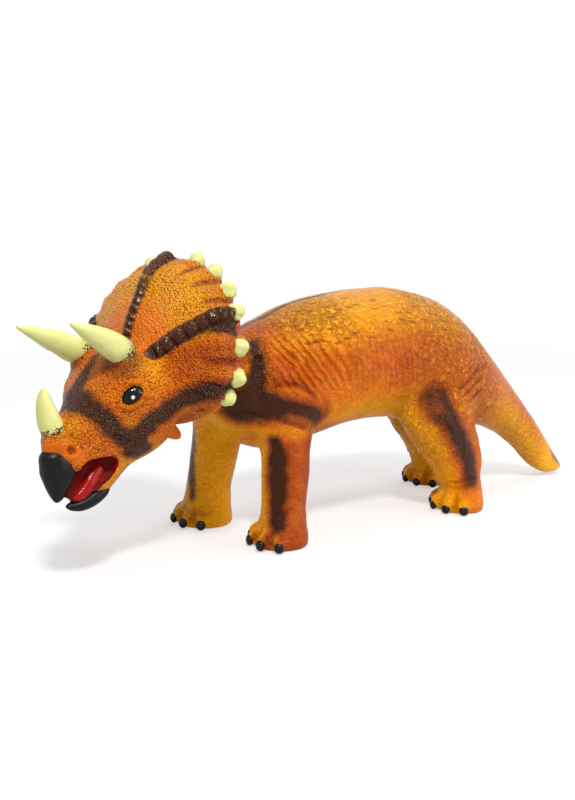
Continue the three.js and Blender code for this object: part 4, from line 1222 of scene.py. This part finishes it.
def horn_finish(name, foot):
    """Pale yellow-green, a little deeper in soft streaks, with brown specks that thicken
    within foot of the base, told by the piece's own height attribute."""
    material = plain_gloss(name, (215, 214, 150), (194, 197, 108), 14, 0.36, 0.5, 0.25)
    tree = material.node_tree
    place = add(tree, "ShaderNodeTexCoord").outputs["Object"]
    specks = noise(place, 520.0, Detail=4.0, Roughness=0.7)
    low = ranged(read(tree, "height"), foot, 0.0, 0.0, 0.22)
    return overpainted(material, ranged(plus(specks, low), 0.68, 0.74), paint_colour(92, 44, 18))


def set_horn(name, stand, rows, length, radius, bend, seat, lumps, seed, material):
    """A horn or spike on its seat, which keeps each point's height over its foot, as a share
    of its length."""
    base, axes = stand
    form = horn_shell(base, axes, rows, length, radius, bend, seat, lumps, seed)
    made = piece(name + "_visual", form)
    over_base = (mesh_points(made)[0] - neck_joint) @ head_turn - base
    keep(made, "height", "FLOAT", over_base @ axes[2] / length)
    finished(made, material, "horn_ivory", name)


horn_ivory = horn_finish("horn_ivory", 0.12)
nose_length, nose_radius, nose_bend = 29, 9.3, 6
brow_length, brow_radius, brow_bend, brow_rise = 56, 10.8, 4, 5
horn_lumps = 0.5
nose_spot, _ = head_spots(2.5, 90, 1)
nose_stand = standing(nose_spot[0], (0.26, 0, 1), (1, 0, 0))
horns = [("nose_horn", nose_stand, blunt_rows, nose_length, nose_radius, nose_bend)]
for side, word in sides:
    brow, brow_facing = head_spots(*brow_place, side)
    foot = brow[0] + brow_facing[0] * brow_rise
    brow_stand = standing(foot, (-0.46, 0.15 * side, 1), (-1, 0, 0))
    horns.append((f"brow_horn_{word}", brow_stand, horn_rows, brow_length, brow_radius, brow_bend))
for seed, horn in enumerate(horns, 41):
    set_horn(*horn, horn_seat, horn_lumps, seed, horn_ivory)

# Frill spikes. Seven lumpy blunt cones of the same pale vinyl on each side, seated round the
# frill's rim.
spike_rows = [
    [-0.4, 0.8], [0, 1.0], [0.25, 1.02], [0.5, 0.86], [0.75, 0.62], [0.92, 0.36], [1, 0.12],
]
spike_length, spike_radius, spike_sunk = 10, 7.2, 1.5
spike_ivory = horn_finish("spike_ivory", 0.3)
for side, word in sides:
    for i, angle in enumerate(spike_angles):
        seat = head_rings(float(rim_row), np.radians([angle]))[0, 0] * (1, side, 1)
        outwards = seat - rim_middle
        outwards /= np.linalg.norm(outwards)
        seat = seat + rim_back * frill_thickness / 2 - outwards * spike_sunk
        stand = standing(seat, outwards, rim_back)
        name, seed = f"frill_spike_{word}_{i + 1}", 51 + i + 9 * side
        set_horn(name, stand, spike_rows, spike_length, spike_radius, 0, 0, 1.1, seed, spike_ivory)

# Eyes. Glossy black domes of hard plastic, pressed into sockets under raised lids, each with
# small painted catch-lights.
eye_black = plain_gloss("eye_black", (6, 6, 6), (3, 3, 3), 5, 0.08, 0.02, 0.25)
overpainted(eye_black, read(eye_black.node_tree, "catch_light"), (0.86, 0.88, 0.9, 1))
# Each catch-light: its place across and up the eye, its size and its strength
catch_lights = ((-1.1, -0.9, 1.4, 1.0), (3.6, 3.0, 0.8, 0.35), (6.2, -2.4, 0.7, 0.3))
slope, turn = np.linspace(-np.pi / 2, np.pi / 2, 49)[1:-1, None], full_turn(96)
dome = [np.cos(slope) * np.cos(turn), np.cos(slope) * np.sin(turn), np.sin(slope) + 0 * turn]
dome = np.stack(dome, -1) * eye_size
dome_x, dome_y, dome_z = shell(dome)[0].T
for side, word in sides:
    eye = piece(f"eye_{word}_visual", head_shell(dome, *eye_stand(side)))
    dots = strongest(*(
        strength * ramp(np.hypot(dome_x - across, dome_y + up * side), size * 1.2, size * 0.75)
        for across, up, size, strength in catch_lights
    )) * (dome_z > 0)
    keep(eye, "catch_light", "FLOAT", dots)
    finished(eye, eye_black, "eye_black", f"eye_{word}")

# Claws. Four oval nails of black vinyl on each foot, pressed into the ends of the toes just
# over the floor.
claw_size = (3.4, 4.6, 4.9)
claw_black = plain_gloss("claw_black", (14, 13, 13), (7, 7, 7), 4, 0.25, 0.3, 0.3)
for leg in legs:
    for i, (place, point) in enumerate(zip(*toe_places(leg))):
        low = place + point * (toe_size[0] - 2.5)
        low[2] = claw_size[2] + 0.6
        claw = piece(f"claw_{leg[0]}_{i + 1}_visual", egg(low, point, claw_size))
        finished(claw, claw_black, "beak_black", f"claw_{leg[0]}_{i + 1}")

# Floor and light. A plain pale floor fades into a white surround; broad soft lamps stand at
# the upper left, at the right and above.
def shaded(share, first, second):
    """Two shaders mixed by a share, a socket."""
    node = add(share.id_data, "ShaderNodeMixShader")
    for socket, value in zip(node.inputs, (share, first, second)):
        give(socket, value)
    return node.outputs[0]


world = bpy.data.worlds.new("surround")
world.use_nodes = True
bpy.context.scene.world = world
sky = world.node_tree
sky_light, sky_seen = sky.nodes["Background"], add(sky, "ShaderNodeBackground")
for background, strength in ((sky_light, 0.4), (sky_seen, 1.0)):
    background.inputs["Color"].default_value = (1, 1, 1, 1)
    background.inputs["Strength"].default_value = strength
rays = add(sky, "ShaderNodeLightPath").outputs
mirrored = number("MAXIMUM", rays["Is Glossy Ray"], rays["Is Transmission Ray"])
looks_at_sky = number("MAXIMUM", rays["Is Camera Ray"], mirrored)
surround = shaded(looks_at_sky, sky_light.outputs[0], sky_seen.outputs[0])
give(sky.nodes["World Output"].inputs["Surface"], surround)

floor_mesh = bpy.data.meshes.new("floor")
floor_radius, floor_sides = 2, 96
floor_turn = full_turn(floor_sides)
floor_ring = [(floor_radius * math.cos(a), floor_radius * math.sin(a), 0) for a in floor_turn]
floor_mesh.from_pydata(floor_ring, [], [list(range(floor_sides))])
floor = bpy.data.objects.new("floor", floor_mesh)
bpy.context.scene.collection.objects.link(floor)
floor_paint, floor_tree, floor_shader, floor_place = new_material("pale_floor")
floor_seen = add(floor_tree, "ShaderNodeLightPath").outputs["Is Camera Ray"]
floor_colour = mixed(floor_seen, (0.72, 0.72, 0.72, 1), (0.93, 0.93, 0.93, 1))
give(floor_shader.inputs["Base Color"], floor_colour)
floor_shader.inputs["Roughness"].default_value = 0.9
white = add(floor_tree, "ShaderNodeEmission", Strength=1.0)
lifted = shaded(times(floor_seen, 0.5), floor_shader.outputs[0], white.outputs[0])
from_middle = add(floor_tree, "ShaderNodeVectorMath", operation="LENGTH")
give(from_middle.inputs[0], floor_place)
fade = ranged(from_middle.outputs["Value"], 0.34, 1.5)
fade.node.interpolation_type = "SMOOTHSTEP"
clear = add(floor_tree, "ShaderNodeBsdfTransparent")
give(floor_tree.nodes["Material Output"].inputs["Surface"], shaded(fade, lifted, clear.outputs[0]))
floor_mesh.materials.append(floor_paint)

# Lamps: where each stands, its side in metres and its power in watts
for name, stand, width, power in (
    ("key_lamp", (-0.6, -1.2, 1.8), 0.3, 37),
    ("fill_lamp", (1.2, -1.2, 0.6), 1.0, 11),
    ("top_lamp", (0.35, 0.2, 1.9), 0.8, 12),
):
    lamp_data = bpy.data.lights.new(name, "AREA")
    lamp = aimed(name, lamp_data, stand, looked_at - Vector(stand))
    lamp.data.size, lamp.data.energy = width, power

bpy.context.scene.view_settings.view_transform = "Standard"
